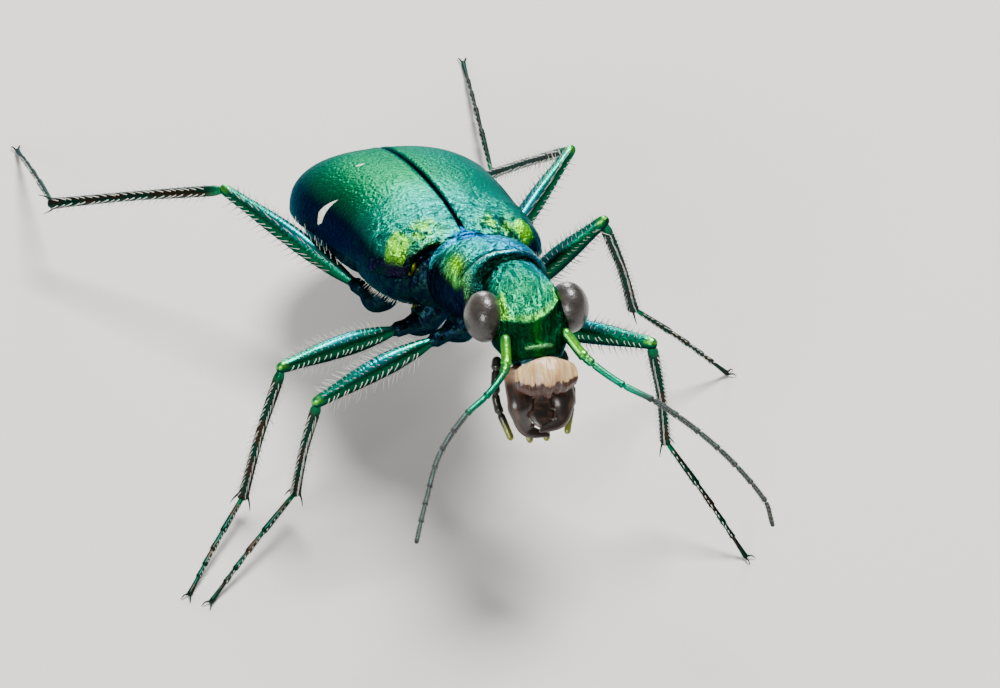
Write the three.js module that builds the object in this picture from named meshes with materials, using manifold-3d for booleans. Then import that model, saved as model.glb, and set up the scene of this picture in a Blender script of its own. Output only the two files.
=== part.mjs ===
// Six-spotted tiger beetle, life size, in millimetres, +Z up, head toward -Y.
// The body frame has its origin on the back, where pronotum and wing cases meet:
// x runs to the animal's left, y backward along the body and z up from it.
import * as THREE from 'three';
import { mergeVertices } from 'three/addons/utils/BufferGeometryUtils.js';
import Module from 'manifold-3d';

const wasm = await Module();
wasm.setup();

// Driving dimensions.
const GAP = 0.15;
const BACK_HEIGHT = 6.2;
const BODY_PITCH = 21.75;
const BODY_ROLL = 6.2;
const ELYTRA_LENGTH = 8.2;
const ELYTRA_HALF_WIDTH = 2.54;
const ELYTRON_WALL = 0.42;
const PRONOTUM_LENGTH = 2.05;
const PRONOTUM_HALF_WIDTH = 1.2;
const PRONOTUM_LEAN = 0.28;
const HEAD_CENTRE = [0.3, -3.42, -0.85];
const HEAD_TURN = [8.5, -1, -4];
const EYE_OFFSET = 1.0;
const EYE_RADII = [0.47, 0.58, 0.6];
const LABRUM_HALF_WIDTH = 0.64;
const LABRUM_LENGTH = 0.95;
const COXA_RADIUS = 0.48;
const TROCHANTER_REACH = 0.78;
const FLOOR_FLAT = 0.02;

// Thickness of the limbs, as radii.
const FEMUR = { root: 0.26, belly: 0.35, knee: 0.25 };
const TIBIA = { root: 0.21, waist: 0.25, ankle: 0.25 };
const TARSUS = { root: 0.25, tip: 0.14 };
const SCAPE_RADIUS = 0.25;
const FLAGELLUM = { root: 0.25, tip: 0.1 };
const PALP = { root: 0.23, tip: 0.18 };
const MANDIBLE_RADIUS = 0.3;

// Where each leg stands: the coxa in the body frame, then knee, ankle and tip of
// the foot above the floor, in the frame of the whole animal.
const LEGS = {
  front_right: {
    coxa: [-0.6, -1.2, -1.85],
    knee: [-4.45, -2.35, 4.21],
    ankle: [-4.82, -1.84, 0.98],
    foot: [-7.58, -3.85, 0.1],
  },
  front_left: {
    coxa: [0.6, -1.2, -1.85],
    knee: [2.96, -4.46, 5.72],
    ankle: [3.48, -4.46, 2.49],
    foot: [4.86, -6.46, 0.1],
  },
  middle_right: {
    coxa: [-0.95, 0.55, -2.25],
    knee: [-4.86, -0.97, 4.22],
    ankle: [-5.93, -1.24, 0.65],
    foot: [-7.98, -3.45, 0.1],
  },
  middle_left: {
    coxa: [0.95, 0.55, -2.25],
    knee: [3.09, -0.93, 6.52],
    ankle: [4.22, -0.37, 3.01],
    foot: [6.87, -0.35, 0.1],
  },
  hind_right: {
    coxa: [-1.3, 2.9, -2.4],
    knee: [-4.05, 5.9, 3.9],
    ankle: [-7.6, 8.9, 2.0],
    foot: [-7.3, 13.4, 0.1],
  },
  hind_left: {
    coxa: [1.3, 2.9, -2.4],
    knee: [4.5, 4.7, 3.85],
    ankle: [3.74, 8.02, 0.65],
    foot: [4.83, 13.18, 0.1],
  },
};

const REAR_LEGS = ['middle_right', 'middle_left', 'hind_right', 'hind_left'];

// Antennae, from the socket outward: the first two points carry the scape.
const ANTENNAE = {
  right: [[-0.64, -4.4, 6.8], [-0.86, -5.0, 6.5], [-1.45, -5.52, 6.35], [-2.16, -5.95, 6.26],
    [-3.06, -6.75, 6.03],
    [-3.71, -7.72, 5.72], [-4.26, -8.63, 5.43]],
  left: [[0.84, -4.4, 6.58], [1.12, -4.95, 6.23], [1.67, -5.72, 5.95], [2.42, -6.46, 5.69],
    [3.38, -7.71, 5.12],
    [4.03, -8.92, 4.44], [4.06, -9.39, 4.07]],
};

// Mandibles and palps in the head's frame, for the left side; the right side is a mirror.
const MANDIBLE = [[0.5, -0.98, -1.05], [0.6, -1.48, -1.52], [0.4, -1.82, -1.9], [-0.15, -1.95, -2.05]];
const LEFT_JAW_SHIFT = -0.06;
const MAXILLARY_PALP = [[0.78, -0.36, -1.0], [0.9, -0.8, -1.75], [0.68, -1.3, -2.5]];
const LABIAL_PALP = [[0.3, -0.38, -1.18], [0.3, -0.8, -1.95], [0.2, -1.25, -2.65]];

const COLOURS = {
  wing_case: new THREE.MeshStandardMaterial({ color: 0x0f8a5c, roughness: 0.35, metalness: 0.8 }),
  pronotum: new THREE.MeshStandardMaterial({ color: 0x12a08a, roughness: 0.35, metalness: 0.8 }),
  head: new THREE.MeshStandardMaterial({ color: 0x139a62, roughness: 0.35, metalness: 0.8 }),
  eye: new THREE.MeshStandardMaterial({ color: 0x4a4038, roughness: 0.2, metalness: 0 }),
  ivory: new THREE.MeshStandardMaterial({ color: 0xd9c7a4, roughness: 0.45, metalness: 0 }),
  dark_jaw: new THREE.MeshStandardMaterial({ color: 0x2a1a14, roughness: 0.25, metalness: 0.1 }),
  palp: new THREE.MeshStandardMaterial({ color: 0x2c3a1c, roughness: 0.4, metalness: 0.4 }),
  leg_green: new THREE.MeshStandardMaterial({ color: 0x0f7a4a, roughness: 0.35, metalness: 0.8 }),
  shin: new THREE.MeshStandardMaterial({ color: 0x24402c, roughness: 0.4, metalness: 0.6 }),
  feeler: new THREE.MeshStandardMaterial({ color: 0x3a3a30, roughness: 0.6, metalness: 0.1 }),
  underside: new THREE.MeshStandardMaterial({ color: 0x14303a, roughness: 0.4, metalness: 0.7 }),
};

const degrees = (value) => THREE.MathUtils.degToRad(value);
const vector = (list) => new THREE.Vector3(...list);
const power = (value, exponent) => Math.sign(value) * Math.abs(value) ** exponent;

// A smooth curve through [t, value] pairs.
function profile(pairs) {
  const slope = (i) => {
    const a = pairs[Math.max(0, i - 1)];
    const b = pairs[Math.min(pairs.length - 1, i + 1)];
    return (b[1] - a[1]) / (b[0] - a[0]);
  };
  return (t) => {
    let i = 0;
    while (i < pairs.length - 2 && t > pairs[i + 1][0]) {
      i += 1;
    }
    const [t0, p0] = pairs[i];
    const [t1, p1] = pairs[i + 1];
    const span = t1 - t0;
    const s = THREE.MathUtils.clamp((t - t0) / span, 0, 1);
    const s2 = s * s;
    const s3 = s2 * s;
    return (2 * s3 - 3 * s2 + 1) * p0 + (s3 - 2 * s2 + s) * span * slope(i)
      + (3 * s2 - 2 * s3) * p1 + (s3 - s2) * span * slope(i + 1);
  };
}

// A closed form with flat ends: a sphere whose rows are laid on the rings of the form.
function loft(around, rows, ring) {
  const geometry = new THREE.SphereGeometry(1, around, rows + 1);
  const place = geometry.attributes.position;
  const point = new THREE.Vector3();
  const centres = [0, 1].map((t) => {
    const sum = new THREE.Vector3();
    for (let i = 0; i < around; i += 1) {
      sum.add(ring(t, (i / around) * 2 * Math.PI));
    }
    return sum.divideScalar(around);
  });
  for (let row = 0; row <= rows + 1; row += 1) {
    for (let i = 0; i <= around; i += 1) {
      const index = row * (around + 1) + i;
      if (row === 0 || row === rows + 1) {
        point.copy(centres[row === 0 ? 0 : 1]);
      } else {
        point.copy(ring((row - 1) / (rows - 1), ((i % around) / around) * 2 * Math.PI));
      }
      place.setXYZ(index, point.x, point.y, point.z);
    }
  }
  return closed(geometry);
}

// Joins shared corners and turns the faces outward.
function closed(source) {
  const geometry = source.clone();
  geometry.deleteAttribute('normal');
  geometry.deleteAttribute('uv');
  const merged = mergeVertices(geometry, 1e-4);
  if (volume(merged) < 0) {
    const index = merged.index.array;
    for (let i = 0; i < index.length; i += 3) {
      [index[i], index[i + 1]] = [index[i + 1], index[i]];
    }
  }
  return merged;
}

function volume(geometry) {
  const corners = [new THREE.Vector3(), new THREE.Vector3(), new THREE.Vector3()];
  let total = 0;
  for (let i = 0; i < geometry.index.count; i += 3) {
    corners.forEach((corner, k) => {
      corner.fromBufferAttribute(geometry.attributes.position, geometry.index.getX(i + k));
    });
    total += corners[0].dot(corners[1].clone().cross(corners[2])) / 6;
  }
  return total;
}

function toManifold(geometry) {
  const source = closed(geometry);
  return new wasm.Manifold(new wasm.Mesh({
    numProp: 3,
    vertProperties: new Float32Array(source.attributes.position.array),
    triVerts: new Uint32Array(source.index.array),
  }));
}

// Keeps the largest closed surface of a solid.
function fromManifold(solid) {
  const bodies = solid.decompose().sort((a, b) => b.volume() - a.volume());
  const mesh = bodies[0].getMesh();
  const geometry = new THREE.BufferGeometry();
  geometry.setAttribute('position', new THREE.BufferAttribute(new Float32Array(mesh.vertProperties), 3));
  geometry.setIndex(new THREE.BufferAttribute(new Uint32Array(mesh.triVerts), 1));
  return geometry;
}

const union = (pieces) => fromManifold(pieces.map(toManifold).reduce((a, b) => a.add(b)));

function cut(piece, tools) {
  return fromManifold(tools.map(toManifold).reduce((a, b) => a.subtract(b), toManifold(piece)));
}

function keepInside(piece, tool) {
  return fromManifold(toManifold(piece).intersect(toManifold(tool)));
}

function box(size, centre) {
  return new THREE.BoxGeometry(...size).translate(...centre);
}

function ellipsoid(radii, centre, around = 16, rows = 10) {
  return new THREE.SphereGeometry(1, around, rows).scale(...radii).translate(...centre);
}

// A round limb along a path of points: radii is a curve of t, and a knob rounds its far end.
function limb(points, radii, { around = 8, rows = 7, knob = false, flatten = 1 } = {}) {
  const path = points.length === 2
    ? new THREE.LineCurve3(points[0], points[1])
    : new THREE.CatmullRomCurve3(points, false, 'centripetal');
  const knobRows = knob ? 3 : 0;
  const start = path.getTangentAt(0);
  const aside = Math.abs(start.z) > 0.9 ? new THREE.Vector3(0, 1, 0) : new THREE.Vector3(0, 0, 1);
  return loft(around, rows + knobRows, (t, angle) => {
    const row = t * (rows + knobRows - 1);
    const along = Math.min(1, row / (rows - 1));
    const beyond = Math.max(0, row - rows + 1) / Math.max(1, knobRows);
    const tangent = path.getTangentAt(along);
    const side = tangent.clone().cross(aside).normalize();
    const up = side.clone().cross(tangent);
    const round = Math.cos(beyond * 0.45 * Math.PI);
    const radius = radii(along) * round;
    return path.getPointAt(along)
      .addScaledVector(tangent, radii(1) * Math.sin(beyond * 0.45 * Math.PI))
      .addScaledVector(side, Math.cos(angle) * radius * flatten)
      .addScaledVector(up, Math.sin(angle) * radius);
  });
}

function spike(root, tip, radius) {
  return limb([root, tip], (t) => radius * (1 - t) + 0.03 * t, { around: 5, rows: 2 });
}

// The two frames that the body and the head are built in.
const animal = new THREE.Group();
const body = new THREE.Group();
body.position.set(0, 0, BACK_HEIGHT);
body.rotation.set(degrees(-BODY_PITCH), degrees(BODY_ROLL), 0);
const head = new THREE.Group();
head.position.set(...HEAD_CENTRE);
head.rotation.set(...HEAD_TURN.map(degrees), 'ZYX');
body.add(head);
animal.add(body);
animal.updateMatrixWorld(true);

function add(parent, name, geometry, colour) {
  const mesh = new THREE.Mesh(geometry, COLOURS[colour]);
  mesh.name = name;
  parent.add(mesh);
}

// Outline of the wing cases: half width, top line and side edge over their length.
const elytraWidth = profile([
  [0, 0.61], [0.04, 0.77], [0.1, 0.86], [0.3, 0.91], [0.5, 0.97], [0.66, 1], [0.8, 0.92], [0.9, 0.72],
  [0.97, 0.41], [1, 0.14],
]);
const elytraTop = profile([
  [0, -0.02], [0.06, 0.18], [0.2, 0.41], [0.45, 0.55], [0.7, 0.41], [0.85, 0.06], [0.95, -0.42], [1, -0.8],
]);
const elytraEdge = profile([[0, -0.85], [0.5, -1.0], [1, -1.12]]);

function elytraRing(inset, start, end, depth) {
  return (t, angle) => {
    const s = start + (end - start) * (0.5 - 0.5 * Math.cos(Math.PI * t)) ** 0.9;
    const half = Math.max(0.12, elytraWidth(s) * ELYTRA_HALF_WIDTH - inset);
    const edge = elytraEdge(s);
    const top = Math.max(edge + 0.1, elytraTop(s) - inset);
    const rise = Math.sin(angle);
    const x = half * power(Math.cos(angle), 2 / 2.4);
    const z = edge + (rise > 0 ? (top - edge) * rise ** (2 / 2.4) : depth * rise);
    return new THREE.Vector3(x, s * ELYTRA_LENGTH, z);
  };
}

const scutellumOutline = (grow) => {
  const shape = new THREE.Shape();
  shape.moveTo(-0.4 - grow, -0.1 - grow);
  shape.lineTo(0.4 + grow, -0.1 - grow);
  shape.lineTo(0, 0.62 + 1.6 * grow);
  return new THREE.ExtrudeGeometry(shape, { depth: 0.32 + 2 * grow, bevelEnabled: false, steps: 1 })
    .rotateX(degrees(8))
    .translate(0, 0.16, -0.32 - grow);
};

function buildWingCases() {
  const outer = loft(36, 16, elytraRing(0, 0, 1, 0.25));
  const inner = loft(28, 12, elytraRing(ELYTRON_WALL, 0.055, 0.965, 1.6));
  const shell = cut(outer, [inner, scutellumOutline(GAP), ...legRoom(REAR_LEGS)]);
  [['elytron_left', 1], ['elytron_right', -1]].forEach(([name, side]) => {
    const half = box([4, 12, 6], [side * (2 + GAP / 2), 4, -0.5]);
    add(body, name, keepInside(shell, half), 'wing_case');
  });
  add(body, 'scutellum', scutellumOutline(0), 'pronotum');
}

// The trunk under the wing cases, and the ringed belly behind it.
const BELLY_START = 0.36;

function trunkRing(start, end, bottom, ribs) {
  return (t, angle) => {
    const s = start + (end - start) * t;
    const edge = elytraEdge(s) - 0.45;
    const narrow = elytraWidth(s) * ELYTRA_HALF_WIDTH - ELYTRON_WALL - GAP - 0.03;
    const rise = Math.sin(angle);
    const flare = THREE.MathUtils.smoothstep(-rise, 0.15, 0.5) * 0.3;
    const half = Math.max(0.1, narrow + flare * THREE.MathUtils.smoothstep(1 - s, 0.1, 0.4));
    const top = Math.max(edge + 0.08, elytraTop(s) - ELYTRON_WALL - GAP - 0.05);
    const low = bottom(s) + ribs * Math.abs(Math.sin((t * 5.5) * Math.PI)) ** 0.5 * -0.06;
    const x = half * power(Math.cos(angle), 2 / 2.3);
    const z = edge + (rise > 0 ? (top - edge) * rise ** 0.87 : (edge - low) * power(rise, 0.9));
    return new THREE.Vector3(x, s * ELYTRA_LENGTH, z);
  };
}

// Hip ball and neck of a leg, and the room that the trunk leaves for a leg.
function hipForm(name, grow) {
  const { hip, trochanter } = legJoints(name);
  const radius = COXA_RADIUS + grow;
  const ball = ellipsoid([radius, radius, radius], hip.toArray(), 12, 8);
  return union([ball, limb([hip, trochanter], () => FEMUR.root + grow, { rows: 3 })]);
}

function legRoom(names) {
  const toBody = body.matrixWorld.clone().invert();
  return names.flatMap((name) => {
    const { hip, knee } = legJoints(name);
    const reach = limb([hip, knee], () => FEMUR.belly + GAP, { around: 10, rows: 2 });
    return [hipForm(name, GAP + 0.03), reach].map((form) => form.applyMatrix4(toBody));
  });
}

function buildTrunk() {
  const chest = profile([[0, -1.75], [0.1, -2.0], [0.25, -2.15], [0.4, -2.1]]);
  const belly = profile([[0.3, -2.0], [0.6, -2.0], [0.8, -1.85], [0.93, -1.6], [1, -1.45]]);
  const chestEnd = BELLY_START - GAP / ELYTRA_LENGTH;
  const thorax = loft(26, 8, trunkRing(0.065, chestEnd, chest, 0));
  add(body, 'thorax', cut(thorax, legRoom(REAR_LEGS)), 'underside');
  const abdomen = loft(24, 18, trunkRing(BELLY_START, 0.945, belly, 1));
  add(body, 'abdomen', cut(abdomen, legRoom(REAR_LEGS)), 'underside');
}

// The collar-shaped first ring of the chest, with a groove behind each of its rims.
const pronotumWidth = profile([
  [0, 0.82], [0.08, 0.9], [0.2, 0.94], [0.55, 1], [0.8, 0.96], [0.92, 0.9], [1, 0.85],
]);
const pronotumTop = profile([
  [0, -0.02], [0.08, 0.04], [0.16, -0.04], [0.36, 0.22], [0.62, 0.28], [0.8, 0.2], [0.88, 0.12], [0.95, 0.22],
  [1, 0.14],
]);
const pronotumBottom = profile([[0, -1.75], [0.5, -1.85], [1, -1.6]]);

function buildPronotum() {
  const ring = (t, angle) => {
    const top = pronotumTop(t);
    const bottom = pronotumBottom(t);
    const middle = (top + bottom) / 2;
    const x = pronotumWidth(t) * PRONOTUM_HALF_WIDTH * power(Math.cos(angle), 2 / 2.3);
    const z = middle + (top - middle) * power(Math.sin(angle), 2 / 2.3);
    return new THREE.Vector3(x + PRONOTUM_LEAN * t, -GAP - t * PRONOTUM_LENGTH, z);
  };
  const collar = loft(28, 15, ring);
  add(body, 'pronotum', cut(collar, legRoom(['front_right', 'front_left'])), 'pronotum');
}

// Head: rings along an axis that bends down to the mouth.
const HEAD_RINGS = {
  y: profile([[0, 1.05], [0.15, 0.6], [0.3, 0.25], [0.48, -0.05], [0.68, -0.38], [0.86, -0.66], [1, -0.9]]),
  z: profile([[0, 0], [0.15, -0.01], [0.3, -0.06], [0.48, -0.13], [0.68, -0.4], [0.86, -0.6], [1, -0.78]]),
  height: profile([[0, 0.76], [0.15, 0.82], [0.3, 0.82], [0.48, 0.77], [0.68, 0.72], [0.86, 0.58], [1, 0.4]]),
  width: profile([[0, 0.74], [0.15, 0.79], [0.3, 0.9], [0.48, 0.96], [0.68, 0.9], [0.86, 0.77], [1, 0.6]]),
  tilt: profile([[0, -4], [0.15, 0], [0.3, 5], [0.48, 18], [0.68, 32], [0.86, 45], [1, 50]]),
};

function eyeAt(side, grow) {
  return ellipsoid(EYE_RADII.map((r) => r + grow), [side * EYE_OFFSET, 0, 0], 18, 12);
}

function buildHead() {
  const skull = loft(28, 15, (t, angle) => {
    const tilt = degrees(HEAD_RINGS.tilt(t));
    const height = HEAD_RINGS.height(t) * power(Math.sin(angle), 2 / 2.3);
    const x = HEAD_RINGS.width(t) * power(Math.cos(angle), 2 / 2.3);
    const y = HEAD_RINGS.y(t) - height * Math.sin(tilt);
    const z = HEAD_RINGS.z(t) + height * Math.cos(tilt);
    return new THREE.Vector3(x, y, z);
  });
  const pits = ['left', 'right'].flatMap((side) => {
    const mirror = side === 'left' ? 1 : -1;
    const jaw = (point) => [point[0] * mirror, point[1], point[2]];
    return [[jaw(MANDIBLE[0]), MANDIBLE_RADIUS + 0.05], [jaw(MAXILLARY_PALP[0]), PALP.root]];
  });
  const hollow = (centre, radius) => ellipsoid([radius, radius, radius], centre, 10, 6);
  const hollows = pits.map(([centre, radius]) => hollow(centre, radius + GAP));
  const toHead = head.matrixWorld.clone().invert();
  const sockets = ['left', 'right'].map((side) => scapeForm(side, GAP).applyMatrix4(toHead));
  add(head, 'head', cut(skull, [eyeAt(1, GAP), eyeAt(-1, GAP), ...hollows, ...sockets]), 'head');
  add(head, 'eye_left', eyeAt(1, 0), 'eye');
  add(head, 'eye_right', eyeAt(-1, 0), 'eye');
}

// Upper lip: a pale plate that hangs from the front of the head, with three blunt teeth.
const MOUTH = new THREE.Group();
MOUTH.position.set(0.02, -1.32, -0.54);
MOUTH.rotation.set(degrees(-35), 0, 0);
head.add(MOUTH);
animal.updateMatrixWorld(true);

function buildLip() {
  const outline = new THREE.Shape();
  const w = LABRUM_HALF_WIDTH;
  outline.moveTo(-0.7 * w, -0.04);
  outline.quadraticCurveTo(-1.1 * w, -0.2, -w, -0.72 * LABRUM_LENGTH);
  outline.lineTo(-0.5 * w, -0.86 * LABRUM_LENGTH);
  outline.lineTo(-0.2 * w, -0.84 * LABRUM_LENGTH);
  outline.lineTo(0, -LABRUM_LENGTH);
  outline.lineTo(0.2 * w, -0.84 * LABRUM_LENGTH);
  outline.lineTo(0.5 * w, -0.86 * LABRUM_LENGTH);
  outline.lineTo(w, -0.72 * LABRUM_LENGTH);
  outline.quadraticCurveTo(1.1 * w, -0.2, 0.7 * w, -0.04);
  outline.quadraticCurveTo(0, 0.04, -0.7 * w, -0.04);
  const plate = new THREE.ExtrudeGeometry(outline, { depth: 0.3, bevelEnabled: false, curveSegments: 3 });
  plate.rotateX(degrees(90)).translate(0, -0.02, 0);
  add(MOUTH, 'labrum', plate, 'ivory');
}

// Sickle-shaped jaws with three teeth each, the left one passing over the right.
function buildJaws() {
  [['left', 1], ['right', -1]].forEach(([name, side]) => {
    const over = side > 0 ? 0 : 1;
    const place = ([x, y, z], i) => {
      const passed = over * (i > 1);
      const shift = side > 0 ? LEFT_JAW_SHIFT : 0;
      return new THREE.Vector3(x * side + shift, y + 0.28 * passed, z - 0.3 * passed);
    };
    const path = MANDIBLE.map(place);
    const blade = limb(path, (t) => MANDIBLE_RADIUS * (1 - t ** 1.6) + 0.07, { around: 8, rows: 9 });
    const curve = new THREE.CatmullRomCurve3(path, false, 'centripetal');
    const teeth = [0.45, 0.6, 0.75].map((t, i) => {
      const root = curve.getPointAt(t);
      return spike(root, root.clone().add(new THREE.Vector3(-0.42 * side, 0.12, 0.16 - 0.04 * i)), 0.12);
    });
    add(head, `mandible_${name}`, union([blade, ...teeth]), 'dark_jaw');
    const palp = (points) => points.map(([x, y, z]) => new THREE.Vector3(x * side, y, z));
    const bead = (t) => 0.92 + 0.08 * Math.cos(t * 6 * Math.PI);
    const swell = (t) => THREE.MathUtils.lerp(PALP.root, PALP.tip, t) * bead(t);
    add(head, `maxillary_palp_${name}`, limb(palp(MAXILLARY_PALP), swell, { rows: 8 }), 'palp');
    add(head, `labial_palp_${name}`, limb(palp(LABIAL_PALP), swell, { rows: 8 }), 'palp');
  });
}

// Feelers: a stout first segment, then a chain of ten that thins to the tip.
function scapeForm(side, grow) {
  const [root, end] = ANTENNAE[side].map(vector);
  const back = root.clone().sub(end).setLength(grow);
  return limb([root.add(back), end], () => SCAPE_RADIUS + grow, { knob: true, rows: 3 });
}

function buildAntennae() {
  Object.entries(ANTENNAE).forEach(([side, list]) => {
    const points = list.map(vector);
    const scapeWay = points[1].clone().sub(points[0]).normalize();
    add(animal, `antenna_scape_${side}`, scapeForm(side, 0), 'head');
    const next = points[2].clone().sub(points[1]).normalize();
    const start = points[1].clone().addScaledVector(next, SCAPE_RADIUS + GAP).addScaledVector(scapeWay, 0.03);
    const thin = (t) => THREE.MathUtils.lerp(FLAGELLUM.root, FLAGELLUM.tip, t ** 2.2);
    add(animal, `antenna_flagellum_${side}`, limb([start, ...points.slice(2)], thin, { rows: 16 }), 'feeler');
  });
}

// The joints of a leg in the frame of the whole animal.
function legJoints(name) {
  const leg = LEGS[name];
  const hip = body.localToWorld(vector(leg.coxa));
  const [knee, ankle, foot] = [leg.knee, leg.ankle, leg.foot].map(vector);
  // A sharply bent knee keeps the shin a little further from the thigh.
  const bend = hip.clone().sub(knee).normalize().dot(ankle.clone().sub(knee).normalize());
  const fold = Math.max(0, bend);
  const step = (from, to, reach) => from.clone().addScaledVector(to.clone().sub(from).normalize(), reach);
  return {
    hip, knee, ankle, foot,
    trochanter: step(hip, knee, TROCHANTER_REACH),
    femurRoot: step(hip, knee, TROCHANTER_REACH + GAP),
    tibiaRoot: step(knee, ankle, FEMUR.knee + GAP + 0.25 * fold),
    tarsusRoot: step(ankle, foot, TIBIA.ankle + GAP),
  };
}

const femurRadius = profile([[0, FEMUR.root], [0.3, FEMUR.belly], [0.6, 0.32], [0.9, 0.26], [1, FEMUR.knee]]);
const tibiaRadius = profile([[0, TIBIA.root], [0.5, TIBIA.waist], [1, TIBIA.ankle]]);

// Five-segmented foot with two claws, levelled at the floor.
function footForm(joints) {
  const { tarsusRoot, foot } = joints;
  const way = foot.clone().sub(tarsusRoot).normalize();
  const middle = tarsusRoot.clone().lerp(foot, 0.5).add(new THREE.Vector3(0, 0, 0.06));
  const waist = (t) => 1 - 0.16 * Math.abs(Math.cos(t * 5 * Math.PI)) ** 3;
  const rings = (t) => THREE.MathUtils.lerp(TARSUS.root, TARSUS.tip, t) * waist(t);
  const chain = limb([tarsusRoot, middle, foot], rings, { rows: 16, around: 7 });
  const side = way.clone().cross(new THREE.Vector3(0, 0, 1)).normalize();
  const claws = [-1, 1].map((hand) => spike(
    foot.clone().addScaledVector(way, -0.08),
    foot.clone().addScaledVector(way, 0.3).addScaledVector(side, 0.16 * hand).setZ(0.07),
    0.08,
  ));
  const ground = box([40, 40, 10], [0, 0, 5 + FLOOR_FLAT]);
  return keepInside(union([chain, ...claws]), ground);
}

function buildLeg(name) {
  const joints = legJoints(name);
  const { knee, ankle, foot, femurRoot, tibiaRoot } = joints;
  add(animal, `${name}_coxa`, hipForm(name, 0), 'underside');
  const thigh = limb([femurRoot, knee], femurRadius, { around: 10, rows: 6, knob: true });
  add(animal, `${name}_femur`, thigh, 'leg_green');
  const shin = limb([tibiaRoot, ankle], tibiaRadius, { rows: 5, knob: true });
  const down = ankle.clone().sub(knee).normalize();
  const across = down.clone().cross(foot.clone().sub(ankle)).normalize();
  const spurs = [-1, 1].map((hand) => {
    const root = ankle.clone().addScaledVector(down, -0.12).addScaledVector(across, 0.12 * hand);
    return spike(root, root.clone().addScaledVector(down, 0.5).addScaledVector(across, 0.36 * hand), 0.09);
  });
  add(animal, `${name}_tibia`, union([shin, ...spurs]), 'shin');
  add(animal, `${name}_tarsus`, footForm(joints), 'shin');
}

buildWingCases();
buildTrunk();
buildPronotum();
buildHead();
buildLip();
buildJaws();
buildAntennae();
Object.keys(LEGS).forEach(buildLeg);

// The origin goes under the middle of the whole animal, on the floor.
animal.updateMatrixWorld(true);
const bounds = new THREE.Box3().setFromObject(animal, true);
const centre = bounds.getCenter(new THREE.Vector3());
animal.position.set(-centre.x, -centre.y, -bounds.min.z);
animal.updateMatrixWorld(true);

export default animal;
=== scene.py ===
"""Six-spotted tiger beetle: the finished look, built over the solids of the frame.

Lengths are in millimetres until mesh_object() turns them into metres. The body frame has its
origin on the back, where collar and wing cases meet: x to the animal's left, y backward, z up.
"""

import math

import bpy
import numpy as np
from mathutils import Matrix, Vector


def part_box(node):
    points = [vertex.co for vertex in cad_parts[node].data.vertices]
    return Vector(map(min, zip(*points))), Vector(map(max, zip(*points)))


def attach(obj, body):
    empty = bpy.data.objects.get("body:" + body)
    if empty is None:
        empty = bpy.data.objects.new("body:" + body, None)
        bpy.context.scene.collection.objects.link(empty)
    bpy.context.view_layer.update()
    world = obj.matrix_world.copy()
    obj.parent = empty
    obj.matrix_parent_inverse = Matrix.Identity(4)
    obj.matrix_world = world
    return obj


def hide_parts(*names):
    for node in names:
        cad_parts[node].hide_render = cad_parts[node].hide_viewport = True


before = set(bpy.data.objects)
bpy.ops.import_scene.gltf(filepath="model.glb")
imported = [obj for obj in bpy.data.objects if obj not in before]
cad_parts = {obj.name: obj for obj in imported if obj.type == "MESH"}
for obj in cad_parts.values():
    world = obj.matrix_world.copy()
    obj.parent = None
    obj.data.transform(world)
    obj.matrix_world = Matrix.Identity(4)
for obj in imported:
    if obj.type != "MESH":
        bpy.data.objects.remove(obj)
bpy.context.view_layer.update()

MM = 0.001
rng = np.random.default_rng(7)

# Driving dimensions, the same as the solids'.
BACK_HEIGHT = 6.2
BODY_PITCH = 21.75
BODY_ROLL = 6.2
ELYTRA_LENGTH = 8.2
ELYTRA_HALF_WIDTH = 2.54
PRONOTUM_LENGTH = 2.05
PRONOTUM_HALF_WIDTH = 1.2
PRONOTUM_LEAN = 0.28
COLLAR_GAP = 0.1
HEAD_CENTRE = (0.3, -3.42, -0.85)
HEAD_TURN = (8.5, -1, -4)
EYE_OFFSET = 1.0
EYE_RADII = (0.47, 0.58, 0.6)
LABRUM_HALF_WIDTH = 0.72
LABRUM_LENGTH = 0.95
MOUTH_PLACE = (0.05, -1.3, -0.52)
MOUTH_TILT = -35

# Joints of each leg: the coxa in the body frame, the others in the animal's frame.
LEGS = {
    "front_right": {"coxa": (-0.6, -1.2, -1.85), "knee": (-4.45, -2.35, 4.21),
                    "ankle": (-4.82, -1.84, 0.98), "foot": (-7.58, -3.85, 0.1)},
    "front_left": {"coxa": (0.6, -1.2, -1.85), "knee": (2.96, -4.46, 5.72),
                   "ankle": (3.48, -4.46, 2.49), "foot": (4.86, -6.46, 0.1)},
    "middle_right": {"coxa": (-0.95, 0.55, -2.25), "knee": (-4.86, -0.97, 4.22),
                     "ankle": (-5.93, -1.24, 0.65), "foot": (-7.98, -3.45, 0.1)},
    "middle_left": {"coxa": (0.95, 0.55, -2.25), "knee": (3.09, -0.93, 6.52),
                    "ankle": (4.22, -0.37, 3.01), "foot": (6.87, -0.35, 0.1)},
    "hind_right": {"coxa": (-1.3, 2.9, -2.4), "knee": (-4.05, 5.9, 3.9),
                   "ankle": (-7.6, 8.9, 2.0), "foot": (-7.3, 13.4, 0.1)},
    "hind_left": {"coxa": (1.3, 2.9, -2.4), "knee": (4.5, 4.7, 3.85),
                  "ankle": (3.74, 8.02, 0.65), "foot": (4.83, 13.18, 0.1)},
}
# Feeler routes in the animal's frame, from the socket to the tip.
ANTENNAE = {
    "right": [(-0.64, -4.4, 6.8), (-0.86, -5.0, 6.5), (-1.45, -5.52, 6.35), (-2.16, -5.95, 6.26),
              (-3.06, -6.75, 6.03), (-3.71, -7.72, 5.72), (-4.26, -8.63, 5.43)],
    "left": [(0.84, -4.4, 6.58), (1.12, -4.95, 6.23), (1.67, -5.72, 5.95), (2.42, -6.46, 5.69),
             (3.38, -7.71, 5.12), (4.03, -8.92, 4.44), (4.06, -9.39, 4.07)],
}
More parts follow.
